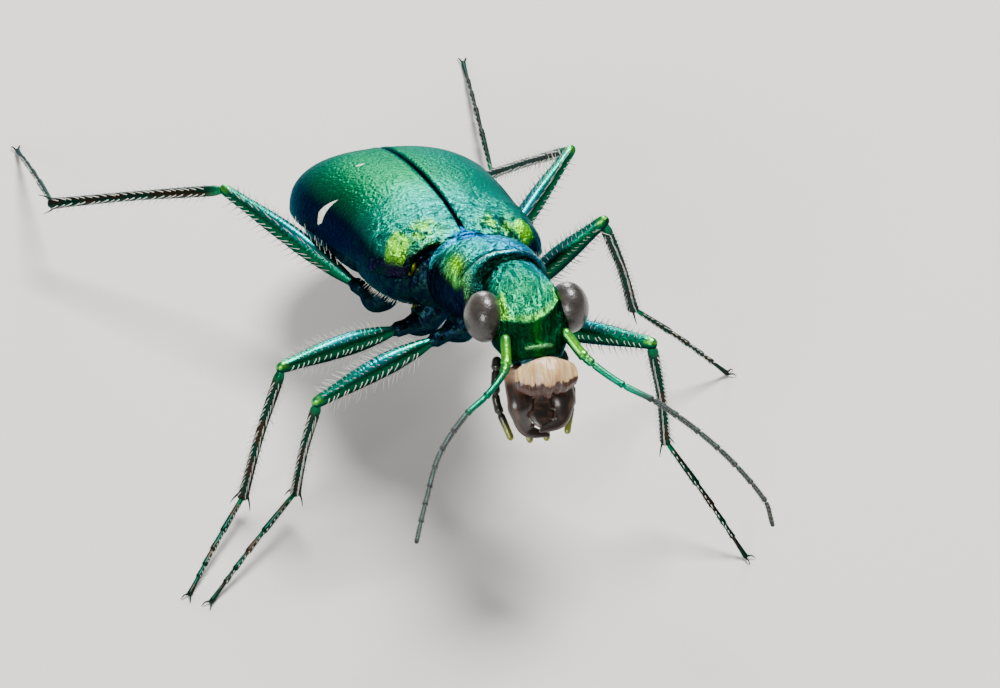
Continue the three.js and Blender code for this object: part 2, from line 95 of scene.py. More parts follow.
# Mouth parts in the head frame, drawn for the left side and mirrored.
MANDIBLE = [(0.46, -0.98, -1.05), (0.50, -1.48, -1.52), (0.34, -1.82, -1.9), (-0.15, -1.95, -2.05)]
MOUTH_SHIFT = -0.02
MAXILLARY_PALP = [(0.78, -0.36, -1.0), (0.9, -0.8, -1.75), (0.68, -1.3, -2.5)]
LABIAL_PALP = [(0.3, -0.38, -1.18), (0.3, -0.8, -1.95), (0.2, -1.25, -2.65)]

# Where the photograph was taken from, as the fit of the outline gave it.
CAMERA_DISTANCE = 120
CAMERA_AZIMUTH = -21.5
CAMERA_ELEVATION = 42
CAMERA_ROLL = 2
CAMERA_TARGET = (0.81, -0.39, 2.83)
PIXELS_PER_RADIAN = 5018
IMAGE_WIDTH = 1000
SENSOR = 36


# Small maths

def turn(axis, angle):
    return np.array(Matrix.Rotation(math.radians(angle), 3, axis))


BODY_TURN = turn("X", -BODY_PITCH) @ turn("Y", BODY_ROLL)
HEAD_LOCAL = turn("Z", HEAD_TURN[2]) @ turn("Y", HEAD_TURN[1]) @ turn("X", HEAD_TURN[0])
MOUTH_LOCAL = turn("X", MOUTH_TILT)


def smoothstep(x, low, high):
    s = np.clip((np.asarray(x, float) - low) / (high - low), 0, 1)
    return s * s * (3 - 2 * s)


def bell(x, centre, width):
    return np.exp(-(((x - centre) / width) ** 2))


def power(value, exponent):
    return np.sign(value) * np.abs(value) ** exponent


def profile(pairs):
    """A smooth curve through (t, value) pairs."""
    ts, vs = np.array(pairs, float).T
    before = np.maximum(np.arange(len(ts)) - 1, 0)
    after = np.minimum(np.arange(len(ts)) + 1, len(ts) - 1)
    slopes = (vs[after] - vs[before]) / (ts[after] - ts[before])

    def curve(t):
        t = np.asarray(t, float)
        i = np.clip(np.searchsorted(ts, t, side="right") - 1, 0, len(ts) - 2)
        span = ts[i + 1] - ts[i]
        s = np.clip((t - ts[i]) / span, 0, 1)
        return ((2 * s**3 - 3 * s**2 + 1) * vs[i] + (s**3 - 2 * s**2 + s) * span * slopes[i]
                + (3 * s**2 - 2 * s**3) * vs[i + 1] + (s**3 - s**2) * span * slopes[i + 1])

    return curve


def body_to_animal(points):
    return np.asarray(points) @ BODY_TURN.T + np.array([0, 0, BACK_HEIGHT])


def head_to_body(points):
    return np.asarray(points) @ HEAD_LOCAL.T + np.array(HEAD_CENTRE)


def head_to_animal(points):
    return body_to_animal(head_to_body(points))


def mouth_to_animal(points):
    return head_to_animal(np.asarray(points) @ MOUTH_LOCAL.T + np.array(MOUTH_PLACE))


def frame_offset():
    """Where the solids' own shift to the middle of the floor put the animal's frame."""
    low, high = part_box("eye_left")
    middle = (np.array(low) + np.array(high)) / 2 / MM
    return middle - head_to_animal([(EYE_OFFSET, 0, 0)])[0]


OFFSET = frame_offset()


# Meshes

# Latitudes of the rings that round off the ends of a tube, in degrees.
CAP_ANGLES = (80, 55, 28)
# A ball's first and last rings stay this far from its poles, in radians.
POLE_GAP = 0.02


def mesh_object(name, points, faces, material, place):
    """A smooth mesh from points in millimetres in the animal's frame; place is kept as an attribute."""
    mesh = bpy.data.meshes.new(name)
    mesh.from_pydata(((np.asarray(points) + OFFSET) * MM).tolist(), [], [tuple(f) for f in faces])
    mesh.update()
    layer = mesh.attributes.new("place", "FLOAT_VECTOR", "POINT")
    layer.data.foreach_set("vector", np.asarray(place, np.float32).ravel())
    mesh.polygons.foreach_set("use_smooth", [True] * len(mesh.polygons))
    mesh.materials.append(material)
    thing = bpy.data.objects.new(name, mesh)
    bpy.context.scene.collection.objects.link(thing)
    return thing


def settle(piece, slot, *nodes):
    """The piece rides on the body and stands for these solids; its slot is not used."""
    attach(piece, "root")
    if nodes:
        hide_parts(*nodes)
    return piece


def ring_faces(rows, around):
    """Quads between rings of points, closed round, with fans to a point added at each end."""
    i, j = np.meshgrid(np.arange(rows - 1), np.arange(around), indexing="ij")
    k = (j + 1) % around
    corners = (i * around + j, i * around + k, (i + 1) * around + k, (i + 1) * around + j)
    quads = np.stack(corners, -1).reshape(-1, 4)
    first, last = rows * around, rows * around + 1
    ends = [(first, (n + 1) % around, n) for n in range(around)]
    base = (rows - 1) * around
    ends += [(last, base + n, base + (n + 1) % around) for n in range(around)]
    return [tuple(q) for q in quads] + ends


def closed_rings(rings):
    """Points and faces of a closed form from rings shaped (rows, around, 3)."""
    rows, around, _ = rings.shape
    points = np.concatenate([rings.reshape(-1, 3), [rings[0].mean(0)], [rings[-1].mean(0)]])
    faces = ring_faces(rows, around)
    corners = points[np.array([f[:3] for f in faces])]
    volume = np.einsum("ij,ij->i", corners[:, 0], np.cross(corners[:, 1], corners[:, 2])).sum()
    return (points, faces) if volume > 0 else (points, [f[::-1] for f in faces])


def join(parts):
    """One set of points, faces and places from several."""
    points, faces, places, start = [], [], [], 0
    for part in parts:
        points.append(part[0])
        faces += [tuple(v + start for v in f) for f in part[1]]
        places.append(part[2])
        start += len(part[0])
    return np.concatenate(points), faces, np.concatenate(places)


def spline(points, count):
    """Points evenly spaced by number along a smooth curve through a few."""
    points = np.asarray(points, float)
    steps = np.linalg.norm(np.diff(points, axis=0), axis=1)
    ts = np.concatenate([[0], np.cumsum(steps)]) / steps.sum()
    curves = [profile(list(zip(ts, points[:, k]))) for k in range(3)]
    t = np.linspace(0, 1, count)
    return np.stack([curve(t) for curve in curves], -1)


def tube(path, radii, around=16, up=(0, 0, 1), flatten=1.0, ribs=None):
    """A round form along a path, with rounded ends.

    Its place holds the length along it in mm, the height round it from -1 to 1, and the share of its length.
    """
    path = np.asarray(path, float)
    radii = np.broadcast_to(np.asarray(radii, float), (len(path),)).copy()
    steps = np.linalg.norm(np.diff(path, axis=0), axis=1)
    along = np.concatenate([[0], np.cumsum(steps)])
    tangent = np.gradient(path, axis=0)
    tangent /= np.linalg.norm(tangent, axis=1)[:, None]
    caps = np.radians(CAP_ANGLES)
    root_cap = [(path[0] - tangent[0] * radii[0] * math.sin(a), radii[0] * math.cos(a), tangent[0], 0)
                for a in caps]
    last = along[-1]
    tip_cap = [(path[-1] + tangent[-1] * radii[-1] * math.sin(a), radii[-1] * math.cos(a), tangent[-1], last)
               for a in caps[::-1]]
    rows = root_cap + list(zip(path, radii, tangent, along)) + tip_cap
    angle = np.arange(around) / around * 2 * math.pi
    rings, places = [], []
    for centre, radius, direction, length in rows:
        side = np.cross(direction, up)
        side /= np.linalg.norm(side)
        rise = np.cross(side, direction)
        share = length / along[-1]
        reach = radius * (1 + (ribs(share, angle) if ribs else 0 * angle))
        wide = np.outer(np.cos(angle) * reach * flatten, side)
        tall = np.outer(np.sin(angle) * reach, rise)
        rings.append(centre + wide + tall)
        places.append(np.stack([np.full(around, length), np.sin(angle), np.full(around, share)], -1))
    points, faces = closed_rings(np.array(rings))
    place = np.concatenate([np.array(places).reshape(-1, 3), [[0, 0, 0]], [[along[-1], 0, 1]]])
    return points, faces, place


def ball(centre, radii, around, rows, basis=np.eye(3)):
    """An ellipsoid with its poles on the local z; place is the point of the unit ball."""
    polar = np.linspace(POLE_GAP, math.pi - POLE_GAP, rows)
    angle = np.arange(around) / around * 2 * math.pi
    sphere = np.stack([np.outer(np.sin(polar), np.cos(angle)), np.outer(np.sin(polar), np.sin(angle)),
                       np.outer(np.cos(polar), np.ones(around))], -1)
    rings = (sphere * np.array(radii)) @ np.asarray(basis).T + np.array(centre)
    points, faces = closed_rings(rings)
    place = np.concatenate([sphere.reshape(-1, 3), [[0, 0, 1]], [[0, 0, -1]]])
    return points, faces, place


def ring_normals(rings):
    """Outward normals of closed rings shaped (rows, around, 3)."""
    down = np.gradient(rings, axis=0)
    across = (np.roll(rings, -1, 1) - np.roll(rings, 1, 1)) / 2
    normal = np.cross(across, down)
    normal /= np.maximum(np.linalg.norm(normal, axis=-1, keepdims=True), 1e-9)
    middle = rings.mean(axis=1, keepdims=True)
    facing = np.sign(((rings - middle) * normal).sum(-1).mean())
    return normal * (facing or 1)


# Shader maths

class Value:
    """A socket that can be added, multiplied and compared as a number."""

    def __init__(self, nodes, socket):
        self.nodes = nodes
        self.socket = socket

    def _math(self, operation, other, swap=False):
        node = self.nodes.tree.nodes.new("ShaderNodeMath")
        node.operation = operation
        values = [self, other] if not swap else [other, self]
        for slot, value in zip(node.inputs, values):
            self.nodes.feed(slot, value)
        return Value(self.nodes, node.outputs[0])

    def __add__(self, other):
        return self._math("ADD", other)

    __radd__ = __add__

    def __mul__(self, other):
        return self._math("MULTIPLY", other)

    __rmul__ = __mul__

    def __sub__(self, other):
        return self._math("SUBTRACT", other)

    def __rsub__(self, other):
        return self._math("SUBTRACT", other, swap=True)

    def __truediv__(self, other):
        return self._math("DIVIDE", other)

    def __neg__(self):
        return self * -1

    def abs(self):
        return self._math("ABSOLUTE", 0)

    def bell(self, centre, width):
        """1 at the centre, falling off as a bell."""
        far = (self - centre) / width
        return (-(far * far))._math("EXPONENT", 0)

    def ramp(self, low, high):
        """0 below low and 1 above high, smooth between."""
        node = self.nodes.tree.nodes.new("ShaderNodeMapRange")
        node.interpolation_type = "SMOOTHSTEP"
        self.nodes.feed(node.inputs["Value"], self)
        node.inputs["From Min"].default_value = low
        node.inputs["From Max"].default_value = high
        return Value(self.nodes, node.outputs["Result"])


class Nodes:
    """The nodes of one material."""

    def __init__(self, name):
        self.material = bpy.data.materials.new(name)
        self.material.use_nodes = True
        self.tree = self.material.node_tree
        self.shader = self.tree.nodes["Principled BSDF"]

    def feed(self, slot, value):
        if isinstance(value, Value):
            self.tree.links.new(value.socket, slot)
        else:
            slot.default_value = value

    def new(self, kind, output, settings=None, **inputs):
        """A node of this kind, its settings and inputs given, as its named output."""
        node = self.tree.nodes.new(kind)
        for key, value in (settings or {}).items():
            setattr(node, key, value)
        for key, value in inputs.items():
            self.feed(node.inputs[key.replace("_", " ")], value)
        return Value(self, node.outputs[output])

    def place(self):
        """The stored place of the surface, as x, y, z."""
        source = self.new("ShaderNodeAttribute", "Vector", {"attribute_name": "place"})
        return source, self.split(source)

    def split(self, source):
        node = self.tree.nodes.new("ShaderNodeSeparateXYZ")
        self.feed(node.inputs[0], source)
        return [Value(self, node.outputs[k]) for k in range(3)]

    def normal(self):
        """The direction the surface faces, as x, y, z of the standing animal."""
        return self.split(self.new("ShaderNodeTexCoord", "Normal"))

    def stretched(self, source, scale):
        """The place scaled along each axis, which draws a pattern out along the smallest."""
        node = self.tree.nodes.new("ShaderNodeVectorMath")
        node.operation = "MULTIPLY"
        self.feed(node.inputs[0], source)
        node.inputs[1].default_value = scale
        return Value(self, node.outputs[0])

    def noise(self, source, scale, detail=3.0, roughness=0.5):
        return self.new("ShaderNodeTexNoise", "Fac", Vector=source, Scale=scale, Detail=detail,
                        Roughness=roughness)

    def cells(self, source, scale):
        """The distance to the nearest of many scattered points: small pits."""
        return self.new("ShaderNodeTexVoronoi", "Distance", Vector=source, Scale=scale)

    def mix(self, share, first, second):
        """A colour between two, each a colour tuple or another mix."""
        node = self.tree.nodes.new("ShaderNodeMix")
        node.data_type = "RGBA"
        self.feed(node.inputs[0], share)
        for slot, value in ((node.inputs[6], first), (node.inputs[7], second)):
            self.feed(slot, value if isinstance(value, Value) else (*value, 1.0))
        return Value(self, node.outputs[2])

    def finish(self, colour, height=None, depth=0.02, **constants):
        """Links colour and relief; the other words are constants or varying values of the shader."""
        self.feed(self.shader.inputs["Base Color"], colour if isinstance(colour, Value) else (*colour, 1.0))
        for key, value in constants.items():
            self.feed(self.shader.inputs[key.replace("_", " ")], value)
        if height is not None:
            bump = self.tree.nodes.new("ShaderNodeBump")
            bump.inputs["Distance"].default_value = depth * MM
            self.feed(bump.inputs["Height"], height)
            self.tree.links.new(bump.outputs["Normal"], self.shader.inputs["Normal"])
        return self.material


# Materials

EMERALD = (0.0, 0.165, 0.055)
# Lighter green of the painted sheen on the top of the back.
DOME_SHEEN_GREEN = (0.0, 0.30, 0.11)
TEAL = (0.0, 0.26, 0.20)
SEA_CYAN = (0.0, 0.48, 0.40)
CROWN_GREEN = (0.0, 0.52, 0.22)
CROWN_SHADE = (0.0, 0.30, 0.12)
COLLAR_BLUE = (0.0, 0.20, 0.62)
# Pale colour of the painted highlight on the collar's front rim.
RIM_HIGHLIGHT = (0.60, 0.88, 0.80)
# Dark green of the face, darkened further as painted shade.
FACE_SHADED_GREEN = (0.0, 0.016, 0.002)
FACE_STREAK = (0.01, 0.16, 0.0)
FACE_LINE = (0.12, 0.44, 0.14)
MARK_IVORY = (0.82, 0.78, 0.62)
CYAN = (0.0, 0.52, 0.44)
BLUE = (0.0, 0.10, 0.58)
LIME = (0.26, 0.95, 0.0)
INDIGO = (0.005, 0.009, 0.022)
VIOLET = (0.022, 0.008, 0.036)
BLACK_GREEN = (0.001, 0.018, 0.012)
IVORY = (0.72, 0.50, 0.25)
BROWN = (0.045, 0.012, 0.005)
METAL = {"Metallic": 1.0, "Specular_Tint": (0.10, 0.45, 0.50, 1)}


def comma_mark(y, z):
    """The pale mark low on the side of each wing case: a comma, wide below and drawn out above."""
    dy, dz = y - 3.77, z + 0.30
    down = dy * 0.484 - dz * 0.875
    across = dy * 0.875 + dz * 0.484
    inside = down * 0.30 + 0.115 - (across + down * down * 0.5).abs() - (down + 0.1).ramp(0.30, 0.52) * 0.2
    return inside.ramp(-0.012, 0.012) * (0.40 - down.abs()).ramp(-0.012, 0.012)


def fleck(first, second, centre, size):
    """A small oval mark, 1 inside and 0 outside."""
    a = (first - centre[0]) / size[0]
    b = (second - centre[1]) / size[1]
    return (1 - (a * a + b * b)).ramp(-0.15, 0.15)


def wing_case_material():
    """Green over the back, cyan and crinkled at the base, yellow-green shoulders, near-black sides: painted
    highlights at the base, shoulders and ridges, painted shade on the sides and in the furrows.
    """
    n = Nodes("wing_case_metal")
    source, (x, y, z) = n.place()
    up = n.normal()[2]
    drift = n.noise(source, 0.6, 2.0) * 0.16 - 0.08
    # Painted shade: the sides go near-black indigo where they turn away from the sky, the beetle's blue
    # darkened as a painted reflection of dark ground.
    top = (up + drift).ramp(0.55, 0.93)
    colour = n.mix(top, INDIGO, EMERALD)
    colour = n.mix(up.bell(0.30, 0.18) * 0.55, colour, VIOLET)
    # Painted sheen: a lighter green where the back faces straight up to the sky.
    sky_sheen = (up + drift).ramp(0.80, 0.99)
    colour = n.mix(sky_sheen * 0.4, colour, DOME_SHEEN_GREEN)
    # Cyan at the front of the wing cases: partly the beetle's own hue, partly a painted highlight on the
    # crinkled base.
    front = 1 - y.ramp(0.4, 3.4)
    inner = 1 - x.abs().ramp(0.5, 1.6)
    colour = n.mix(front * top * (inner * 0.6 + 0.4), colour, CYAN)
    colour = n.mix(x.ramp(-0.3, 1.6) * top * 0.55, colour, TEAL)
    # Painted highlights: yellow-green glints on the shoulder bumps and on the ridge inside each, only where
    # the surface faces up.
    shoulder = (x.abs().bell(1.60, 0.30) * y.bell(0.26, 0.30)).ramp(0.25, 0.65)
    ridge = x.abs().bell(0.92, 0.42) * y.bell(0.42, 0.34)
    sparkle = n.noise(n.stretched(source, (3.0, 1.4, 3.0)), 1.5, 4.0).ramp(0.36, 0.62)
    lit = up.ramp(0.45, 0.72)
    colour = n.mix(shoulder * lit * (sparkle * 0.5 + 0.6), colour, LIME)
    colour = n.mix(ridge * sparkle * lit * 1.1, colour, LIME)
    shade = x.abs().bell(1.24, 0.15) * y.bell(0.15, 0.25)
    colour = n.mix(shade * 0.85, colour, BLACK_GREEN)
    white = comma_mark(y, z) + fleck(x, y, (-1.10, 4.69), (0.11, 0.045))
    white = white + fleck(y, z, (6.92, -0.74), (0.30, 0.14))
    white = white + fleck(x.abs(), y, (0.95, 7.75), (0.30, 0.09))
    colour = n.mix(white, colour, MARK_IVORY)
    pits = n.cells(source, 8.5).ramp(0.0, 0.6)
    fine = n.cells(source, 15.0).ramp(0.0, 0.6)
    wrinkle = n.noise(n.stretched(source, (1.0, 1.7, 1.0)), 2.6, 4.0, 0.6)
    rough_base = 1 - y.ramp(0.5, 3.4)
    crinkle = 1 - y.ramp(0.3, 2.4)
    # Painted shade in the furrows between the crinkles at the base.
    furrow_shade = (1 - wrinkle.ramp(0.42, 0.52)) * crinkle
    colour = n.mix(furrow_shade * (1 - shoulder * 0.7) * 0.8, colour, BLACK_GREEN)
    height = pits * 0.26 + fine * 0.14 + wrinkle * (rough_base * 1.0 + crinkle * 5.0 + 0.1)
    n.feed(n.shader.inputs["Roughness"], white * 0.15 + (1 - crinkle) * 0.13 + 0.24)
    return n.finish(colour, height, 0.05, Metallic=1 - white, Specular_Tint=METAL["Specular_Tint"])


def collar_material():
    """Cyan to blue across the back of the collar, with yellow-green edges and a pale front rim that is a
    painted highlight; painted shade on the sides, in the groove behind the rim, in the furrows and at the
    front end.
    """
    n = Nodes("collar_metal")
    source, (x, y, z) = n.place()
    up = n.normal()[2]
    # Painted shade: the sides go near-black indigo where they turn away from the sky.
    top = up.ramp(0.32, 0.75)
    colour = n.mix(top, INDIGO, SEA_CYAN)
    colour = n.mix(x.ramp(-0.9, 0.9) * top * 0.75, colour, COLLAR_BLUE)
    colour = n.mix(x.abs().bell(0.0, 0.34) * y.bell(-0.65, 0.5) * top * 0.9, colour, BLUE)
    colour = n.mix(y.bell(-0.12, 0.22) * top * 0.8, colour, BLUE)
    sides = x.abs().bell(0.98, 0.15) * (1 - x.ramp(0.2, 1.0) * 0.7) * up.ramp(0.25, 0.50)
    colour = n.mix(sides * y.bell(-1.60, 0.38) * 1.1, colour, LIME)
    # Painted shade in the groove behind the front rim.
    colour = n.mix(y.bell(-1.87, 0.07) * top * 0.95, colour, BLACK_GREEN)
    # Painted highlight: a pale line along the front rim.
    colour = n.mix(y.bell(-2.085, 0.030) * top * x.ramp(-0.9, -0.4), colour, RIM_HIGHLIGHT)
    # Painted shade on the front end of the collar, where it meets the head.
    colour = n.mix(1 - y.ramp(-2.17, -2.13), colour, BLACK_GREEN)
    lines = n.noise(n.stretched(source, (1.0, 3.0, 1.0)), 2.3, 4.0, 0.6)
    folds = n.noise(n.stretched(source, (1.0, 1.6, 1.0)), 1.8, 3.0)
    # Painted shade in the furrows between the fine lines.
    colour = n.mix((1 - lines.ramp(0.38, 0.52)) * top * 0.6, colour, BLACK_GREEN)
    n.feed(n.shader.inputs["Roughness"], lines * 0.12 + 0.17)
    return n.finish(colour, lines * 3.8 + folds * 2.4, 0.05, **METAL)


def head_material():
    """A crinkled cyan-green crown that ends in a bright edge over a dark green face; the edge and brows
    carry painted highlights, the face, sides and furrows painted shade.
    """
    n = Nodes("head_metal")
    source, (x, y, z) = n.place()
    share = n.new("ShaderNodeAttribute", "Fac", {"attribute_name": "share"})
    up = n.normal()[2]
    # Painted shade: the sides and underside of the skull go black-green where they turn away from the sky.
    top = up.ramp(0.15, 0.6)
    colour = n.mix(top, BLACK_GREEN, CROWN_GREEN)
    behind = 1 - share.ramp(0.0, 0.42)
    colour = n.mix(behind * top * 0.85, colour, SEA_CYAN)
    colour = n.mix(behind * x.ramp(0.0, 0.7) * top * 0.9, colour, BLUE)
    mottle = n.noise(n.stretched(source, (4.0, 2.0, 2.0)), 1.6, 3.0).ramp(0.3, 0.7)
    colour = n.mix(mottle * 0.5, colour, CROWN_SHADE)
    # Painted highlight: a yellow-green line along the raised edge over the face.
    to_edge = share + x * 0.08 + x * x * 0.25
    colour = n.mix(to_edge.bell(0.67, 0.035) * 0.55 * (1 - x.abs().ramp(0.15, 0.6) * 0.5), colour, LIME)
    # Painted highlight: yellow-green along each brow beside the eyes.
    rim = x.abs().bell(0.66, 0.08) * share.ramp(0.34, 0.46) * (1 - to_edge.ramp(0.68, 0.71))
    colour = n.mix(rim * 0.8, colour, LIME)
    # The face below the edge: a darker green, darkened further by painted shade in its hollow.
    face = to_edge.ramp(0.687, 0.71)
    colour = n.mix(face * 0.95, colour, FACE_SHADED_GREEN)
    colour = n.mix(face * x.abs().bell(0.0, 0.12) * 0.35, colour, FACE_STREAK)
    colour = n.mix(share.bell(0.91, 0.016) * (1 - x.abs().ramp(0.26, 0.36)), colour, FACE_LINE)
    lines = n.noise(n.stretched(source, (3.4, 0.9, 1.0)), 2.4, 4.0, 0.6)
    grain = n.noise(source, 5.0, 3.0)
    # Painted shade in the furrows between the fine lines of the crown.
    colour = n.mix((1 - lines.ramp(0.40, 0.52)) * (1 - face) * 0.65, colour, BLACK_GREEN)
    n.feed(n.shader.inputs["Roughness"], lines * 0.12 + 0.17)
    return n.finish(colour, lines * 5.0 + grain * 1.8, 0.035, **METAL)


def eye_material():
    n = Nodes("compound_eye")
    source, (x, y, z) = n.place()
    mottle = n.noise(source, 2.2, 3.0).ramp(0.35, 0.7)
    # Painted shade: the lower part of each eye darkens.
    low = 1 - z.ramp(-0.30, 0.25)
    colour = n.mix(mottle, (0.018, 0.014, 0.011), (0.046, 0.038, 0.033))
    colour = n.mix(low * 0.8, colour, (0.008, 0.007, 0.006))
    facets = n.cells(source, 22.0)
    return n.finish(colour, facets, 0.006, Roughness=0.34, Coat_Weight=0.35, Coat_Roughness=0.12)


def lip_material():
    n = Nodes("upper_lip_horn")
    source, (u, v, w) = n.place()
    ragged = n.noise(n.stretched(source, (2.4, 0.6, 1.0)), 3.2, 4.0, 0.65) * 0.34
    edge = (v + ragged + u.abs() * 0.06).ramp(0.88, 0.96)
    # Painted highlight and shade: the lip is paler on its raised folds and browner between them.
    fold = n.noise(n.stretched(source, (3.2, 0.5, 1.0)), 2.2, 3.0)
    colour = n.mix(fold.ramp(0.38, 0.66), (0.50, 0.29, 0.12), IVORY)
    colour = n.mix(v.bell(0.70, 0.14) * 0.35, colour, (0.42, 0.22, 0.10))
    colour = n.mix(edge, colour, BROWN)
    return n.finish(colour, fold * 2.2, 0.05, Roughness=0.36, Coat_Weight=0.3, Coat_Roughness=0.15,
                    Subsurface_Weight=0.12, Subsurface_Scale=0.0002)


def jaw_material():
    n = Nodes("jaw_horn")
    source, (length, rise, share) = n.place()
    pale = (1 - share.ramp(0.04, 0.20)) * 0.7
    streak = n.noise(n.stretched(source, (0.6, 2.0, 1.0)), 2.5, 3.0).ramp(0.45, 0.62)
    colour = n.mix(streak * 0.6, (0.010, 0.005, 0.003), (0.085, 0.040, 0.024))
    colour = n.mix(pale, colour, (0.30, 0.17, 0.10))
    return n.finish(colour, n.noise(source, 5.0, 3.0), 0.012, Roughness=0.34, Coat_Weight=0.25,
                    Coat_Roughness=0.2)


def palp_material():
    n = Nodes("palp_horn")
    source, (length, rise, share) = n.place()
    colour = n.mix(share.ramp(0.72, 0.95), (0.010, 0.010, 0.005), (0.16, 0.18, 0.02))
    return n.finish(colour, n.noise(source, 6.0, 2.0), 0.01, Roughness=0.28, Coat_Weight=0.3, Metallic=0.4)


def feeler_material():
    n = Nodes("feeler_horn")
    source, (length, rise, share) = n.place()
    metal = 1 - length.ramp(1.9, 2.6)
    colour = n.mix(metal, (0.030, 0.027, 0.022), (0.0, 0.17, 0.09))
    # Painted highlight: yellow-green on the upper side of the first segments.
    colour = n.mix(metal * length.bell(0.35, 0.45) * rise.ramp(0.0, 0.8) * 0.6, colour, LIME)
    return n.finish(colour, n.noise(n.stretched(source, (2.0, 1.0, 1.0)), 5.0, 3.0), 0.012,
                    Metallic=metal * 0.9, Roughness=0.36, Specular_Tint=METAL["Specular_Tint"])


def thigh_material():
    n = Nodes("thigh_metal")
    source, (length, rise, share) = n.place()
    # Painted highlight: a pale cyan line, blue in the middle, along the top of the thigh.
    ridge = rise.ramp(0.62, 0.95)
    shade = 1 - rise.ramp(-0.55, 0.35)
    colour = n.mix(shade, (0.0, 0.090, 0.038), BLACK_GREEN)
    colour = n.mix(ridge * 0.75, colour, (0.0, 0.38, 0.26))
    colour = n.mix(ridge * share.bell(0.45, 0.2) * 0.5, colour, (0.0, 0.25, 0.42))
    # Painted highlight: a small yellow-green glint on the top of the knee.
    colour = n.mix(share.ramp(0.94, 1.0) * rise.ramp(0.1, 0.8) * 0.38, colour, LIME)
    grain = n.noise(n.stretched(source, (2.5, 1.0, 1.0)), 5.0, 3.0)
    return n.finish(colour, grain, 0.018, Roughness=0.3, **METAL)


def shin_material():
    n = Nodes("shin_metal")
    source, (length, rise, share) = n.place()
    patches = n.noise(n.stretched(source, (0.6, 0.3, 1.0)), 2.0, 3.0).ramp(0.42, 0.62)
    colour = n.mix(patches, (0.002, 0.030, 0.018), (0.030, 0.017, 0.010))
    colour = n.mix(share.ramp(0.0, 0.10), (0.004, 0.13, 0.05), colour)
    return n.finish(colour, n.noise(n.stretched(source, (3.0, 1.0, 1.0)), 4.0, 2.0), 0.015,
                    Metallic=0.8, Roughness=0.30, Specular_Tint=METAL["Specular_Tint"])


def trunk_material():
    n = Nodes("underside_metal")
    source, (x, y, z) = n.place()
    grain = n.noise(source, 6.0, 4.0)
    colour = n.mix(grain.ramp(0.35, 0.7), (0.003, 0.008, 0.020), (0.006, 0.026, 0.028))
    gold = y.bell(0.02, 0.16) * z.ramp(-1.0, -0.7) * n.noise(source, 4.0, 2.0).ramp(0.50, 0.60)
    colour = n.mix(gold * 0.9, colour, (0.50, 0.60, 0.05))
    return n.finish(colour, n.cells(source, 7.0).ramp(0.0, 0.5) * 0.6 + grain, 0.04, Roughness=0.36, **METAL)


def plain_material(name, colour, roughness):
    n = Nodes(name)
    return n.finish(colour, None, Roughness=roughness, Metallic=0.0)


# Body

# Power of the rounded cross-sections: 2 is an ellipse, more is squarer.
ELYTRA_POWER = 2.4
BODY_POWER = 2.3
WING_CASE_WALL = 0.14
SEAM_GAP = 0.005
elytra_width = profile([(0, 0.61), (0.04, 0.77), (0.1, 0.86), (0.3, 0.91), (0.5, 0.97), (0.66, 1),
                        (0.8, 0.92), (0.9, 0.72), (0.97, 0.41), (1, 0.14)])
elytra_top = profile([(0, -0.02), (0.06, 0.18), (0.2, 0.41), (0.45, 0.55), (0.7, 0.41), (0.85, 0.06),
                      (0.95, -0.42), (1, -0.8)])
elytra_edge = profile([(0, -0.85), (0.5, -1.0), (1, -1.12)])


def elytra_surface(s, angle):
    """A point of the wing cases: s runs along them, angle from the side edge over the back."""
    half = np.maximum(0.1, elytra_width(s) * ELYTRA_HALF_WIDTH)
    edge = elytra_edge(s)
    top = np.maximum(edge + 0.1, elytra_top(s))
    rise = np.sin(angle)
    x = half * power(np.cos(angle), 2 / ELYTRA_POWER)
    z = edge + np.where(rise > 0, (top - edge) * np.abs(rise) ** (2 / ELYTRA_POWER), 0.25 * rise)
    return np.stack([x, s * ELYTRA_LENGTH, z], -1)


def base_relief(x, y):
    """The shoulder bump, the hollows beside it and the ripples at the front of a wing case."""
    shape = 0.12 * bell(y, 0.50, 0.34) * bell(x, 1.58, 0.30)
    shape += 0.05 * bell(y, 0.42, 0.25) * bell(x, 0.85, 0.35)
    shape -= 0.12 * bell(y, 0.45, 0.35) * bell(x, 1.24, 0.16)
    shape -= 0.07 * bell(y, 1.25, 0.45) * bell(x, 0.95, 0.35)
    shape -= 0.04 * bell(y, 2.3, 0.6) * bell(x, 1.45, 0.5)
    ripple = np.sin(y * 13 + 2.2 * np.sin(x * 4.1)) * np.sin(x * 9 + 1.7 * np.sin(y * 5.3))
    return shape + 0.012 * ripple * (1 - smoothstep(y, 0.9, 3.2))


